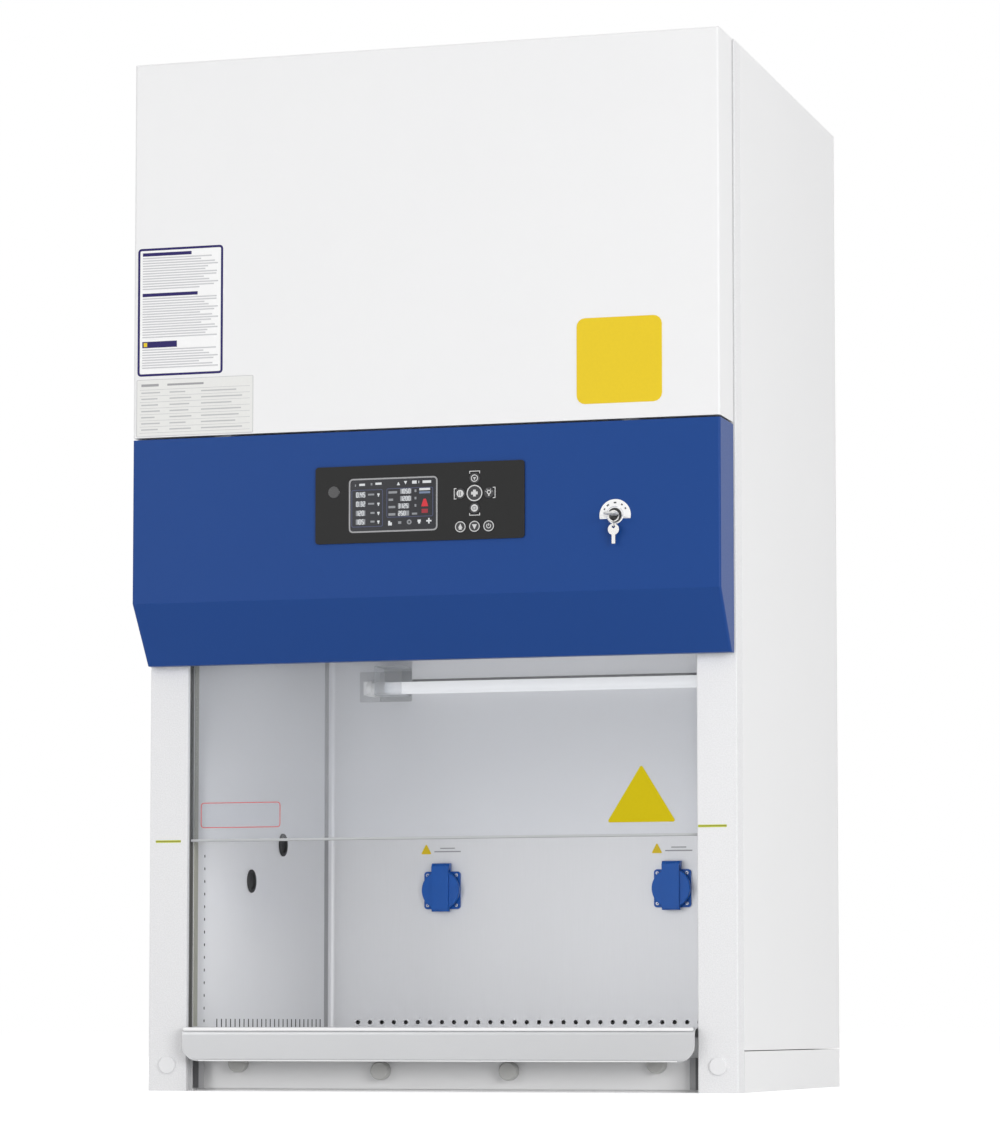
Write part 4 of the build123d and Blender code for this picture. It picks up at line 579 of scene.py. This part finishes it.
def rating_plate():
    """Pale silver plate: a plain heading bar, then a table of short bars between fine lines."""
    left, top = -355.5 * mm, 847 * mm
    width, height = 147.5 * mm, 68.5 * mm
    corners = rectangle(left + width / 2, top - height / 2, width, height)
    board = plate(Piece(), corners, 1.5 * mm, FACE_Y, STICKER, 0.1 * mm)
    board.finish("rating_plate", EXTRA["plate_silver"], "cabinet", "white_plastic")
    ink_y = FACE_Y - STICKER
    heading = tiles(Piece(), [(left + 17 * mm, top - 7 * mm, 22 * mm, 3 * mm)], ink_y)
    tiles(heading, [(left + 62 * mm, top - 7 * mm, 46 * mm, 2.4 * mm)], ink_y)
    heading.finish("rating_heading", EXTRA["ink_grey"], "cabinet", "white_plastic")
    row_count, row_pitch = 7, 7.4 * mm
    columns = [(6 * mm, 24 * mm), (42 * mm, 28 * mm), (82 * mm, 52 * mm)]
    bars = []
    for row in range(row_count):
        z = top - 16 * mm - row * row_pitch
        for start, length in columns:
            reach = length * (0.7 + 0.3 * abs(np.sin(1.9 * row + start * 300)))
            bars.append((left + start + reach / 2, z, reach, 1.5 * mm))
    tiles(Piece(), bars, ink_y).finish("rating_bars", EXTRA["ink_pale"], "cabinet", "white_plastic")
    line_z = [top - 12.4 * mm - row * row_pitch for row in range(row_count + 1)]
    lines = [(left + width / 2, z, width - 8 * mm, 0.4 * mm) for z in line_z]
    outline = frame_ring(tiles(Piece(), lines, ink_y), corners, 1.5 * mm, 0.5 * mm, ink_y, PRINT)
    outline.finish("rating_lines", EXTRA["ink_pale"], "cabinet", "white_plastic")


# ---------------------------------------------------------------- plates on glass and walls
def glass_plates():
    """Plain yellow triangle and a red-edged blank label, both stuck on the sash glass."""
    base_z, apex_z, middle_x, half = 314 * mm, 381.5 * mm, 244.9 * mm, 41.6 * mm
    corners = [(middle_x - half, base_z), (middle_x + half, base_z), (middle_x, apex_z)]
    plate(Piece(), corners, 2 * mm, GLASS_Y, STICKER, 0.1 * mm).finish(
        "glass_plate", EXTRA["plate_amber"], "sash", "white_plastic"
    )
    label_x, label_z, width, height, film = -250.5 * mm, 329.2 * mm, 101 * mm, 30.5 * mm, 0.1 * mm
    corners = rectangle(label_x, label_z, width, height)
    plate(Piece(), corners, 4 * mm, GLASS_Y, film).finish(
        "glass_label", FINISHES["glass"], "sash", "glass"
    )
    frame_ring(Piece(), corners, 4 * mm, 1.0 * mm, GLASS_Y - film, PRINT).finish(
        "glass_label_border", EXTRA["ink_red"], "sash", "white_plastic"
    )


def socket_plates():
    """Small plain yellow triangle and two fine bars above each socket."""
    plates, bars = Piece(), Piece()
    half, rise = 7.2 * mm, 13.5 * mm
    for x, z in ((-180.7 * mm, 301.5 * mm), (130.9 * mm, 299.5 * mm)):
        plate(plates, [(x - half, z), (x + half, z), (x, z + rise)], 1 * mm, BACK_LOW.y, STICKER)
        bar_x = x + 29 * mm
        rows = [(bar_x, z + 7.5 * mm, 20 * mm, 1.4 * mm), (bar_x, z + 3.2 * mm, 36 * mm, 1.6 * mm)]
        tiles(bars, rows, BACK_LOW.y, 0.2 * mm)
    plates.finish("socket_plates", EXTRA["plate_yellow"], "cabinet", "white_plastic")
    bars.finish("socket_bars", EXTRA["ink_grey"], "cabinet", "white_plastic")


def height_marks():
    """Lime height mark with a dark middle line on each pillar."""
    lime, line = Piece(), Piece()
    film = 0.2 * mm
    for x, z, length in ((-338.3 * mm, 298 * mm, 32 * mm), (332.3 * mm, 308 * mm, 34 * mm)):
        plate(lime, rectangle(x, z, length, 3.0 * mm), 0.4 * mm, PILLAR_LOW.y, film)
        plate(line, rectangle(x, z, length, 0.9 * mm), 0.2 * mm, PILLAR_LOW.y - film, PRINT)
    lime.finish("height_marks", EXTRA["ink_lime"], "cabinet", "white_plastic")
    line.finish("height_mark_lines", EXTRA["ink_olive"], "cabinet", "white_plastic")


# ---------------------------------------------------------------- screen and keys
SEGMENTS = {
    "0": "abcdef", "1": "bc", "2": "abged", "3": "abgcd", "4": "fgbc",
    "5": "afgcd", "6": "afgedc", "7": "abc", "8": "abcdefg", "9": "abcdfg",
}
SEGMENT_PLACE = {  # middle x, middle z and whether it lies flat, in a cell 1 wide and 2 tall
    "a": (0.0, 1.0, True), "g": (0.0, 0.0, True), "d": (0.0, -1.0, True),
    "f": (-0.5, 0.5, False), "b": (0.5, 0.5, False), "e": (-0.5, -0.5, False), "c": (0.5, -0.5, False),
}


def number(text, x, z, height):
    """Spans of the lit segments of a plain number whose left edge is x and middle is z."""
    cell = height / 2.6
    spans = []
    for digit in text:
        if digit == ".":
            spans.append((x, z - height / 2, 0.35 * cell, 0.35 * cell))
            x += 0.7 * cell
            continue
        for segment in SEGMENTS[digit]:
            offset_x, offset_z, flat = SEGMENT_PLACE[segment]
            size = (0.6 * cell, 0.42 * cell) if flat else (0.40 * cell, 1.25 * cell)
            spans.append((x + (0.5 + offset_x) * cell, z + offset_z * height / 2, *size))
        x += 1.6 * cell
    return spans


def cross(piece, x, z, span, width, y):
    """Plus sign: one bar across, and one short bar above and one below it."""
    stub = (span - width) / 2
    shift = (span + width) / 4
    bars = [(x, z, span, width), (x, z + shift, width, stub), (x, z - shift, width, stub)]
    return tiles(piece, bars, y)


def arrow(piece, x, z, half, rise, y):
    """Solid triangle that points up where rise is 1 and down where it is -1."""
    corners = [(x - half, z - rise * half), (x + half, z - rise * half), (x, z + rise * half)]
    return plate(piece, corners[::rise], 0.1 * mm, y, PRINT)


def screen():
    """Screen content: a pale frame, two boxes, plain numbers, bars and icons, and one red mark.

    at(u, v) gives the place at a share of the width from the left and of the height from the top,
    and bar(u, v, wide, tall) the span of a small bar there, its size in millimetres.
    """
    left, right = DISPLAY_LOW.x, DISPLAY_HIGH.x
    top, bottom = DISPLAY_HIGH.z, DISPLAY_LOW.z
    width, height = right - left, top - bottom
    y = DISPLAY_LOW.y

    def at(u, v):
        return left + u * width, top - v * height

    def bar(u, v, wide, tall):
        return (*at(u, v), wide * mm, tall * mm)

    edge = rectangle((left + right) / 2, (top + bottom) / 2, width, height)
    ring = frame_ring(Piece(), edge, 5 * mm, 1.8 * mm, y, 0.25 * mm)
    ring.finish("screen_frame", EXTRA["ink_grey"], "control_cover", "white_plastic")

    boxes = Piece()
    for u, v, wide, tall in ((0.207, 0.552, 0.355, 0.69), (0.688, 0.468, 0.525, 0.54)):
        corners = rectangle(*at(u, v), wide * width, tall * height)
        frame_ring(boxes, corners, 2 * mm, 0.9 * mm, y, PRINT)
    boxes.finish("screen_boxes", EXTRA["lit_blue"], "control_cover", "screen")

    bright, fields = [], []
    for v, text in ((0.30, "0.45"), (0.47, "0.32"), (0.64, "120"), (0.80, "105")):
        fields.append(bar(0.133, v, 11.6, 6.2))
        bright += number(text, *at(0.085, v), 5.6 * mm)
        bright.append(bar(0.335, v, 2.8, 2.0))
        bright.append(bar(0.335, v + 0.03, 1.3, 1.6))
    readings = [(0.585, 0.26, "1050"), (0.585, 0.395, "1200"), (0.56, 0.53, "3125"), (0.56, 0.665, "250")]
    for u, v, text in readings:
        fields.append(bar(u + 0.058, v, 13.6, 5.8))
        bright += number(text, *at(u, v), 5.2 * mm)
    tiles(Piece(), fields, y).finish("screen_fields", EXTRA["lit_grey"], "control_cover", "screen")
    bright.append(bar(0.856, 0.235, 13.2, 2.6))
    bright += [bar(0.15, 0.115, 7.0, 2.6), bar(0.335, 0.105, 7.5, 2.6)]
    bright += [bar(0.74, 0.10, 5.6, 3.6), bar(0.79, 0.10, 0.8, 3.0), bar(0.88, 0.10, 10.5, 3.0)]
    numbers = tiles(Piece(), bright, y - PRINT / 2)
    for u, v, rise in ((0.56, 0.115, 1), (0.64, 0.105, -1)):
        arrow(numbers, *at(u, v), 2 * mm, rise, y)
    x, z = at(0.466, 0.845)
    tiles(numbers, [(x, z - 0.6 * mm, 4.6 * mm, 3.6 * mm), (x - 1 * mm, z + 2.1 * mm, 2.4 * mm, 1.8 * mm)], y)
    x, z = at(0.794, 0.825)
    tiles(numbers, [(x, z + 0.8 * mm, 4.0 * mm, 2.6 * mm), (x, z - 1.5 * mm, 2.6 * mm, 2.0 * mm)], y)
    cross(numbers, *at(0.903, 0.82), 6.4 * mm, 1.8 * mm, y)
    numbers.finish("screen_numbers", EXTRA["lit_white"], "control_cover", "screen")

    dim = [bar(0.252, v, 7.6, 2.0) for v in (0.30, 0.47)] + [bar(0.268, v, 5.0, 2.2) for v in (0.64, 0.80)]
    dim += [bar(0.497, 0.275, 10.6, 2.6), bar(0.475, 0.41, 5.6, 2.6), bar(0.487, 0.545, 8.4, 2.6)]
    dim += [bar(0.487, 0.68, 8.4, 2.8), bar(0.742, 0.68, 6.4, 2.2)]
    dim += [bar(0.752, v, 2.2, 3.0) for v in (0.26, 0.395, 0.53)]
    dim += [bar(0.074, 0.125, 1.2, 2.6), bar(0.256, 0.11, 2.0, 2.6), bar(0.575, 0.835, 3.8, 3.0)]
    units = tiles(Piece(), dim, y)
    annulus(units, *at(0.682, 0.83), 2.9 * mm, 1.3 * mm, y)
    units.finish("screen_units", EXTRA["lit_grey"], "control_cover", "screen")

    sky = tiles(Piece(), [bar(0.856, 0.295, 13.2, 2.4)], y)
    sky.finish("screen_band", EXTRA["lit_sky"], "control_cover", "screen")
    x, z = at(0.856, 0.49)
    foot, foot_z, crown, crown_z = 4.4 * mm, z - 4 * mm, 1.4 * mm, z + 5 * mm
    corners = [(x - foot, foot_z), (x + foot, foot_z), (x + crown, crown_z), (x - crown, crown_z)]
    red = plate(Piece(), corners, 0.6 * mm, y, PRINT)
    red.finish("screen_mark", EXTRA["lit_red"], "control_cover", "screen")
    dull = tiles(Piece(), [bar(0.856, 0.635, 7.6, 4.8)], y)
    dull.finish("screen_low_mark", EXTRA["lit_dim_red"], "control_cover", "screen")


def key_centre(name):
    """Middle of a key's cap in X and Z, its radius and the depth of its face."""
    low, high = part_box(name)
    return (low.x + high.x) / 2, (low.z + high.z) / 2, (high.x - low.x) / 2, low.y


def key_marks():
    """Printed rings and glyphs on the keys, and the bracket marks round the pad."""
    names = ("set", "up", "down", "left", "right", "fan", "light", "power")
    light = {name: Piece() for name in names}
    dark = {name: Piece() for name in ("left", "down")}
    centres = {name: key_centre(f"key_{name}") for name in names}

    x, z, radius, y = centres["set"]
    annulus(light["set"], x, z, radius - 0.2 * mm, radius - 1.5 * mm, y)
    cross(light["set"], x, z, 8 * mm, 3.4 * mm, y)

    disc_radius = 4.3 * mm
    x, z, _, y = centres["up"]
    annulus(light["up"], x, z, disc_radius, 3.3 * mm, y)
    tiles(light["up"], [(x, z + 0.4 * mm, 3.4 * mm, 1.2 * mm), (x, z - 1.1 * mm, 1.2 * mm, 1.8 * mm)], y)

    disc = [(0.0, 0.0), (disc_radius, 0.0), (disc_radius, -PRINT), (0.0, -PRINT)]
    for name in dark:
        x, z, _, y = centres[name]
        turned(light[name], (x, y, z), disc)
    x, z, _, y = centres["left"]
    tiles(dark["left"], [(x + step * mm, z, 0.7 * mm, 5 * mm) for step in (-1.5, 0.4)], y - PRINT)
    x, z, _, y = centres["down"]
    frame_ring(dark["down"], rectangle(x, z, 4.4 * mm, 3.4 * mm), 0.5 * mm, 0.6 * mm, y - PRINT, PRINT)

    x, z, _, y = centres["right"]
    annulus(light["right"], x, z + 0.6 * mm, 2.6 * mm, 1.5 * mm, y)
    tiles(light["right"], [(x, z - 2.9 * mm, 1.8 * mm, 1.8 * mm)], y)
    for angle in (15, 55, 125, 165):
        arc_band(light["right"], x, z + 0.6 * mm, 3.9 * mm, 1.1 * mm, angle - 5, angle + 5, y, steps=3)

    for name in ("fan", "light", "power"):
        x, z, radius, y = centres[name]
        annulus(light[name], x, z, radius - 0.2 * mm, radius - 1.2 * mm, y)
    x, z, _, y = centres["fan"]
    arrow(light["fan"], x, z + 1.2 * mm, 2.6 * mm, 1, y)
    tiles(light["fan"], [(x, z - 2.4 * mm, 3.6 * mm, 1.9 * mm)], y)
    x, z, _, y = centres["light"]
    arrow(light["light"], x, z - 0.6 * mm, 3.0 * mm, -1, y)
    x, z, _, y = centres["power"]
    arc_band(light["power"], x, z, 2.5 * mm, 0.9 * mm, 125, 415, y)
    tiles(light["power"], [(x, z + 1.6 * mm, 0.9 * mm, 3.0 * mm)], y)

    for name, piece in light.items():
        piece.finish(f"key_{name}_mark", EXTRA["ink_light"], f"key_{name}", "white_plastic")
    for name, piece in dark.items():
        piece.finish(f"key_{name}_glyph", EXTRA["ink_black"], f"key_{name}", "black_plastic")

    x, z, _, _ = centres["set"]
    y = OVERLAY_Y
    reach, long, foot, line = 24.8 * mm, 13 * mm, 2.2 * mm, 0.9 * mm
    spans = []
    for side in (-1, 1):
        inward, corner = reach - (line + foot) / 2, (long - line) / 2
        spans.append((x + side * reach, z, line, long))
        spans += [(x + side * inward, z + end * corner, foot, line) for end in (-1, 1)]
        spans.append((x, z + side * (reach + 1 * mm), long, line))
        spans += [(x + end * corner, z + side * (inward + 1 * mm), line, foot) for end in (-1, 1)]
    brackets = tiles(Piece(), spans, y)
    brackets.finish("pad_brackets", EXTRA["ink_light"], "control_cover", "overlay_film")


def lock_details():
    """White scale band with dark ticks round the lock, and the black face of its rotor."""
    x = (LOCK_LOW.x + LOCK_HIGH.x) / 2
    centre_z = LOCK_HIGH.z - (LOCK_HIGH.x - LOCK_LOW.x) / 2
    plate_y = FACE_Y - 0.8 * mm
    band_radius, band_width, band_thickness = 14.5 * mm, 8.2 * mm, 0.08 * mm
    ticks = Piece()
    for start, end in ((146, 154), (120, 132), (96, 84), (60, 52), (36, 28)):
        arc_band(ticks, x, centre_z, 14.6 * mm, 1.7 * mm, start, end, plate_y, PRINT, 4)
    ticks.finish("lock_ticks", EXTRA["ink_black"], "control_cover", "chrome")
    scale = Piece()
    arc_band(scale, x, centre_z, band_radius, band_width, -10, 190, plate_y, band_thickness, 40)
    scale.finish("lock_scale", EXTRA["plate_white"], "control_cover", "white_plastic")
    half = 0.1 * mm
    face = [(0, -half), (8.2 * mm, -half), (8.6 * mm, half), (0, half)]
    rotor = turned(Piece(), (x, LOCK_LOW.y, centre_z), face)
    rotor.finish("rotor_face", EXTRA["rotor_black"], "control_cover", "black_plastic")


# ---------------------------------------------------------------- chamber trim
def corner_coves():
    """Hollow quarter-round strip in each rear corner of the chamber."""
    radius, foot, gap = 7 * mm, 72.5 * mm, 0.5 * mm
    heights = np.array([[foot], [BACK_HIGH.z - gap]])
    angle = np.linspace(0, pi / 2, 9)
    for name, side in (("left_corner_cove", -1), ("right_corner_cove", 1)):
        x = side * (-WALL_HIGH.x - radius)
        y = BACK_LOW.y - radius
        across = x + side * radius * np.cos(angle)
        deep = y + radius * np.sin(angle)
        rows = np.stack(np.broadcast_arrays(across, deep, heights), axis=-1)
        Piece().grid(rows, wrap=False).finish(name, FINISHES["stainless"], "cabinet", "stainless")


def screw(piece, x, y, z, radius, facing=-1):
    """Pan head with a rounded rim and a shallow recess in its middle."""
    profile = np.array([(1.0, 0.0), (1.0, 0.35), (0.8, 0.62), (0.35, 0.70), (0.28, 0.30), (0.0, 0.30)])
    profile[:, 1] *= facing
    return turned(piece, (x, y, z), profile * radius, 20)


def fasteners():
    """Screws round the edge of the rear panel and on the corners of the sockets' flanges."""
    heads = Piece()
    side_inset, end_inset = 12 * mm, 14 * mm
    rear_x = np.linspace(REAR_LOW.x + side_inset, REAR_HIGH.x - side_inset, 5)
    rear_z = np.linspace(REAR_LOW.z + end_inset, REAR_HIGH.z - end_inset, 8)
    for x in rear_x:
        for z in rear_z:
            if x in (rear_x[0], rear_x[-1]) or z in (rear_z[0], rear_z[-1]):
                screw(heads, x, REAR_HIGH.y, z, 3.4 * mm, 1)
    heads.finish("rear_screws", FINISHES["zinc"], "cabinet", "zinc")
    small_heads = Piece()
    flange_y, flange_z, reach = 283 * mm, 254 * mm, 19.7 * mm
    for name in ("left_socket_lid", "right_socket_lid"):
        low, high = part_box(name)
        middle_x = (low.x + high.x) / 2
        for side in (-1, 1):
            for rise in (-1, 1):
                screw(small_heads, middle_x + side * reach, flange_y, flange_z + rise * reach, 2.6 * mm)
    small_heads.finish("socket_screws", FINISHES["zinc"], "cabinet", "zinc")


def strip(piece, middle_x, width, low_z, high_z, rear_y, depth):
    """Square-edged upright strip between two heights, reaching forward from rear_y."""
    corners = rectangle(middle_x, (low_z + high_z) / 2, width, high_z - low_z)
    return plate(piece, corners, 0.0, rear_y, depth)


# Strips of painted shade in the chamber and beside the lower panel.
def seams():
    """Painted shade: grey strips beside the corner coves, and dark sheets inside the side walls' openings.

    The dark sheets run inside the sheet, just under its face, so only the openings show them.
    A dark and a grey strip of painted shadow close each end of the lower panel.
    """
    wall_face = -WALL_HIGH.x
    sheet, under = 0.3 * mm, 0.05 * mm
    # Foot, top, rear edge and depth of each strip.
    # grey strip on each side wall just ahead of its corner cove: a painted shadow line
    cove_shadow_line = (73 * mm, 562 * mm, BACK_LOW.y - 7.5 * mm, 15 * mm)
    # dark sheets behind the slots and the holes, painted shade
    slot_row = (73 * mm, 88 * mm, 254 * mm, 404 * mm)
    hole_column = (78 * mm, 288 * mm, -186 * mm, 6 * mm)
    panel_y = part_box("front_lower_panel")[0].y
    # dark and grey strips of painted shadow beside each end of the lower panel
    foot_dark_shadow = (3.5 * mm, 40.5 * mm, panel_y, 0.6 * mm)
    foot_grey_shadow = (3.5 * mm, 40.5 * mm, panel_y, 0.5 * mm)
    foot_shadow_width, foot_shadow_x = 7 * mm, 309.5 * mm
    # ends gathers the dark strips of painted shadow beside the lower panel
    grey_shadow_strips, shade_sheets, ends = Piece(), Piece(), Piece()
    for side in (-1, 1):
        strip(grey_shadow_strips, side * (wall_face - sheet / 2), sheet, *cove_shadow_line)
        shade_sheet_x = side * (wall_face + under + sheet / 2)
        strip(shade_sheets, shade_sheet_x, sheet, *slot_row)
        strip(shade_sheets, shade_sheet_x, sheet, *hole_column)
        strip(ends, side * foot_shadow_x, foot_shadow_width, *foot_dark_shadow)
        strip(grey_shadow_strips, side * (foot_shadow_x - foot_shadow_width), foot_shadow_width, *foot_grey_shadow)
    shade_sheets.finish("opening_painted_shade", EXTRA["painted_opening_shade"], "cabinet", "black_plastic")
    ends.finish("foot_painted_shadow", EXTRA["painted_gap_shadow"], "cabinet", "black_plastic")
    # grey strips of painted shadow: beside the corner coves and at the ends of the lower panel
    grey_shadow_strips.finish("grey_painted_shadow", EXTRA["ink_grey"], "cabinet", "stainless")


def sleeve(piece, corners, radius, wall, start_x, end_x):
    """Hollow box section along X: an outline in Y and Z, and the same drawn in by its wall."""
    rows = []
    for inset, x in ((0.0, start_x), (0.0, end_x), (wall, end_x), (wall, start_x), (0.0, start_x)):
        flat = rounded(corners, radius, inset)
        rows.append(np.stack([np.full(len(flat), x), flat[:, 0], flat[:, 1]], axis=1))
    piece.grid(np.stack(rows))
    return piece


def arm_rest_highlight_and_hem():
    """Bright strip along the top of the arm rest's face as a painted highlight of its rounded edge, and a
    fine hem along its foot.
    """
    low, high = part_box("arm_rest")
    edges = Piece()
    # painted highlight: the bright strip stands for the light on the rounded top edge
    roll = rectangle(0, high.z - 2.4 * mm, 625 * mm, 4.0 * mm)
    hem = rectangle(0, low.z + 1.0 * mm, 586 * mm, 1.2 * mm)
    plate(edges, roll, 1.9 * mm, low.y, 0.5 * mm, 0.3 * mm)
    plate(edges, hem, 0.5 * mm, low.y, 0.3 * mm)
    edges.finish("arm_rest_highlight_and_hem", EXTRA["hem_and_painted_highlight"], "cabinet", "stainless_arm")


def lamp_details():
    """Painted light and shadow over the tube, a white plate with a dark strip under it; at each end a smoky
    sleeve, a white clip ring, a tab and a screw.
    """
    sleeves, clips, tabs, heads = Piece(), Piece(), Piece(), Piece()
    tube_y, tube_z = (TUBE_LOW.y + TUBE_HIGH.y) / 2, (TUBE_LOW.z + TUBE_HIGH.z) / 2
    wall_y = BACK_LOW.y
    sleeve_front, sleeve_rear = tube_y - 12 * mm, wall_y - 2 * mm
    sleeve_middle, sleeve_depth = (sleeve_front + sleeve_rear) / 2, sleeve_rear - sleeve_front
    section = rectangle(sleeve_middle, 528 * mm, sleeve_depth, 38 * mm)
    clip = [(8.7, -4.0), (9.8, -4.0), (10.2, -3.4), (10.2, 3.4), (9.8, 4.0), (8.7, 4.0), (8.7, -4.0)]
    sleeve_inner, sleeve_outer, tab_x = 201 * mm, 238 * mm, 222.5 * mm
    clip_x, screw_x = 246.5 * mm, 262 * mm
    for side in (-1, 1):
        ends = sorted((side * sleeve_inner, side * sleeve_outer))
        sleeve(sleeves, section, 1.5 * mm, 1.2 * mm, *ends)
        turned(clips, (side * clip_x, tube_y, tube_z), np.array(clip) * mm, 28, axis="x")
        plate(tabs, rectangle(side * tab_x, 523 * mm, 43 * mm, 40 * mm), 1.5 * mm, wall_y, 1.5 * mm)
        screw(heads, side * screw_x, wall_y - 3 * mm, tube_z, 2.8 * mm)
    sleeves.finish("lamp_sleeves", EXTRA["clip_clear"], "cabinet", "glass")
    clips.finish("lamp_clips", FINISHES["white_plastic"], "cabinet", "white_plastic")
    tabs.finish("lamp_tabs", FINISHES["grey_plastic"], "cabinet", "grey_plastic")
    heads.finish("lamp_screws", FINISHES["zinc"], "cabinet", "zinc")
    # The white plate's brightness is painted light on the wall above the tube; the dark strip under it is
    # painted shadow.
    length, painted_light_z, painted_shadow_z = 400 * mm, 546 * mm, 530.4 * mm
    painted_light_band = rectangle(0, painted_light_z, length, 28 * mm)
    painted_light_band = plate(Piece(), painted_light_band, 1 * mm, wall_y, 4 * mm, 0.6 * mm)
    painted_light_band.finish("lamp_painted_light", EXTRA["batten_painted_light"], "cabinet", "white_paint")
    gap = plate(Piece(), rectangle(0, painted_shadow_z, length, 3 * mm), 0.2 * mm, wall_y, 1 * mm)
    gap.finish("batten_painted_shadow", EXTRA["painted_gap_shadow"], "cabinet", "black_plastic")


def pillar_gaskets():
    """Gasket strip down each pillar's inner face, behind the sash guide."""
    thick, low, high = 0.8 * mm, 77 * mm, 562 * mm
    gaskets = Piece()
    for side in (-1, 1):
        middle_x = side * (PILLAR_LOW.x - thick / 2)
        strip(gaskets, middle_x, thick, low, high, PILLAR_HIGH.y - 0.5 * mm, 12.5 * mm)
    gaskets.finish("pillar_gaskets", EXTRA["gasket_olive"], "cabinet", "rubber")


# ---------------------------------------------------------------- stage, light and camera
def stage():
    """Pale floor that shows almost white to the camera and keeps the object's shadow."""
    finish = Finish("stage_floor")
    path = finish.node("ShaderNodeLightPath", {}, {}, output="Is Camera Ray")
    glossy = finish.node("ShaderNodeLightPath", {}, {}, output="Is Glossy Ray")
    through = finish.node("ShaderNodeLightPath", {}, {}, output="Is Transmission Ray")
    seen = path.math("MAXIMUM", glossy).math("MAXIMUM", through)
    pale = finish.node("ShaderNodeBsdfDiffuse", {}, {"Color": (0.90, 0.90, 0.90, 1)})
    lift = finish.node("ShaderNodeEmission", {}, {"Color": (1, 1, 1, 1), "Strength": seen * 0.45})
    both = finish.node("ShaderNodeAddShader", {}, {0: pale, 1: lift})
    material = finish.output(both)
    half = 30.0
    corners = [(-half, -half, 0), (half, -half, 0), (half, half, 0), (-half, half, 0)]
    mesh = bpy.data.meshes.new("floor")
    mesh.from_pydata(corners, [], [(0, 1, 2, 3)])
    mesh.materials.append(material)
    floor = bpy.data.objects.new("floor", mesh)
    bpy.context.scene.collection.objects.link(floor)


def white_air():
    """World that is pale grey as light and white where the camera, glass or gloss sees it."""
    world = bpy.data.worlds.new("studio")
    bpy.context.scene.world = world
    world.use_nodes = True
    tree = world.node_tree
    tree.nodes.clear()
    light_path = tree.nodes.new("ShaderNodeLightPath")
    seen = light_path.outputs["Is Camera Ray"]
    for ray in ("Is Glossy Ray", "Is Transmission Ray"):
        either = tree.nodes.new("ShaderNodeMath")
        either.operation = "MAXIMUM"
        tree.links.new(seen, either.inputs[0])
        tree.links.new(light_path.outputs[ray], either.inputs[1])
        seen = either.outputs[0]
    level = tree.nodes.new("ShaderNodeMapRange")
    level.inputs["To Min"].default_value = 0.62
    level.inputs["To Max"].default_value = 1.0
    tree.links.new(seen, level.inputs["Value"])
    background = tree.nodes.new("ShaderNodeBackground")
    background.inputs["Color"].default_value = (1, 1, 1, 1)
    tree.links.new(level.outputs["Result"], background.inputs["Strength"])
    output = tree.nodes.new("ShaderNodeOutputWorld")
    tree.links.new(background.outputs["Background"], output.inputs["Surface"])


def softbox(name, place, target, size, power):
    """Rectangular area lamp aimed at a point; power is in watts."""
    data = bpy.data.lights.new(name, "AREA")
    data.energy = power
    data.shape = "RECTANGLE"
    data.size, data.size_y = size
    lamp = bpy.data.objects.new(name, data)
    bpy.context.scene.collection.objects.link(lamp)
    lamp.location = place
    aim = np.asarray(target, float) - np.asarray(place, float)
    yaw = np.arctan2(-aim[0], aim[1])
    pitch = np.arctan2(aim[2], np.hypot(aim[0], aim[1]))
    lamp.rotation_euler = (pi / 2 + pitch, 0, yaw)
    return lamp


def lights():
    """Two soft lamps before the object, one above, one behind, and a fill in the chamber's mouth."""
    softbox("left_light", (-2.2, -3.8, 1.4), (0, 0, 0.5), (2.0, 1.6), 22)
    softbox("right_light", (3.2, -3.0, 1.0), (0, 0, 0.45), (2.0, 1.6), 60)
    softbox("top_light", (0.2, -0.6, 4.4), (0, -0.1, 1.0), (2.4, 2.4), 13)
    softbox("rear_light", (-1.8, 4.2, 2.0), (0, 0.3, 0.6), (2.4, 2.4), 20)
    mouth_y, mouth_z = WALL_LOW.y + 10 * mm, 0.25
    fill = softbox("chamber_fill", (0, mouth_y, mouth_z), (0, 1, mouth_z), (0.58, 0.32), 0.60)
    fill.visible_camera = False
    fill.visible_glossy = False


def camera():
    """Low camera to the right of the front, tilted up and turned to the left, in radians."""
    data = bpy.data.cameras.new("camera")
    data.sensor_width = 36.0
    data.lens = 133.53
    data.shift_y = 0.1
    data.clip_end = 60.0
    made = bpy.data.objects.new("camera", data)
    bpy.context.scene.collection.objects.link(made)
    tilt, turn = 0.0804, 0.2842
    made.location = (1.4666, -5.0091, 0.0788)
    made.rotation_euler = (pi / 2 + tilt, 0, turn)
    bpy.context.scene.camera = made


bpy.context.scene.view_settings.view_transform = "Standard"
dress_nodes()
blank_sign()
instruction_plate()
rating_plate()
glass_plates()
socket_plates()
height_marks()
screen()
key_marks()
lock_details()
corner_coves()
fasteners()
seams()
arm_rest_highlight_and_hem()
lamp_details()
pillar_gaskets()
stage()
white_air()
lights()
camera()
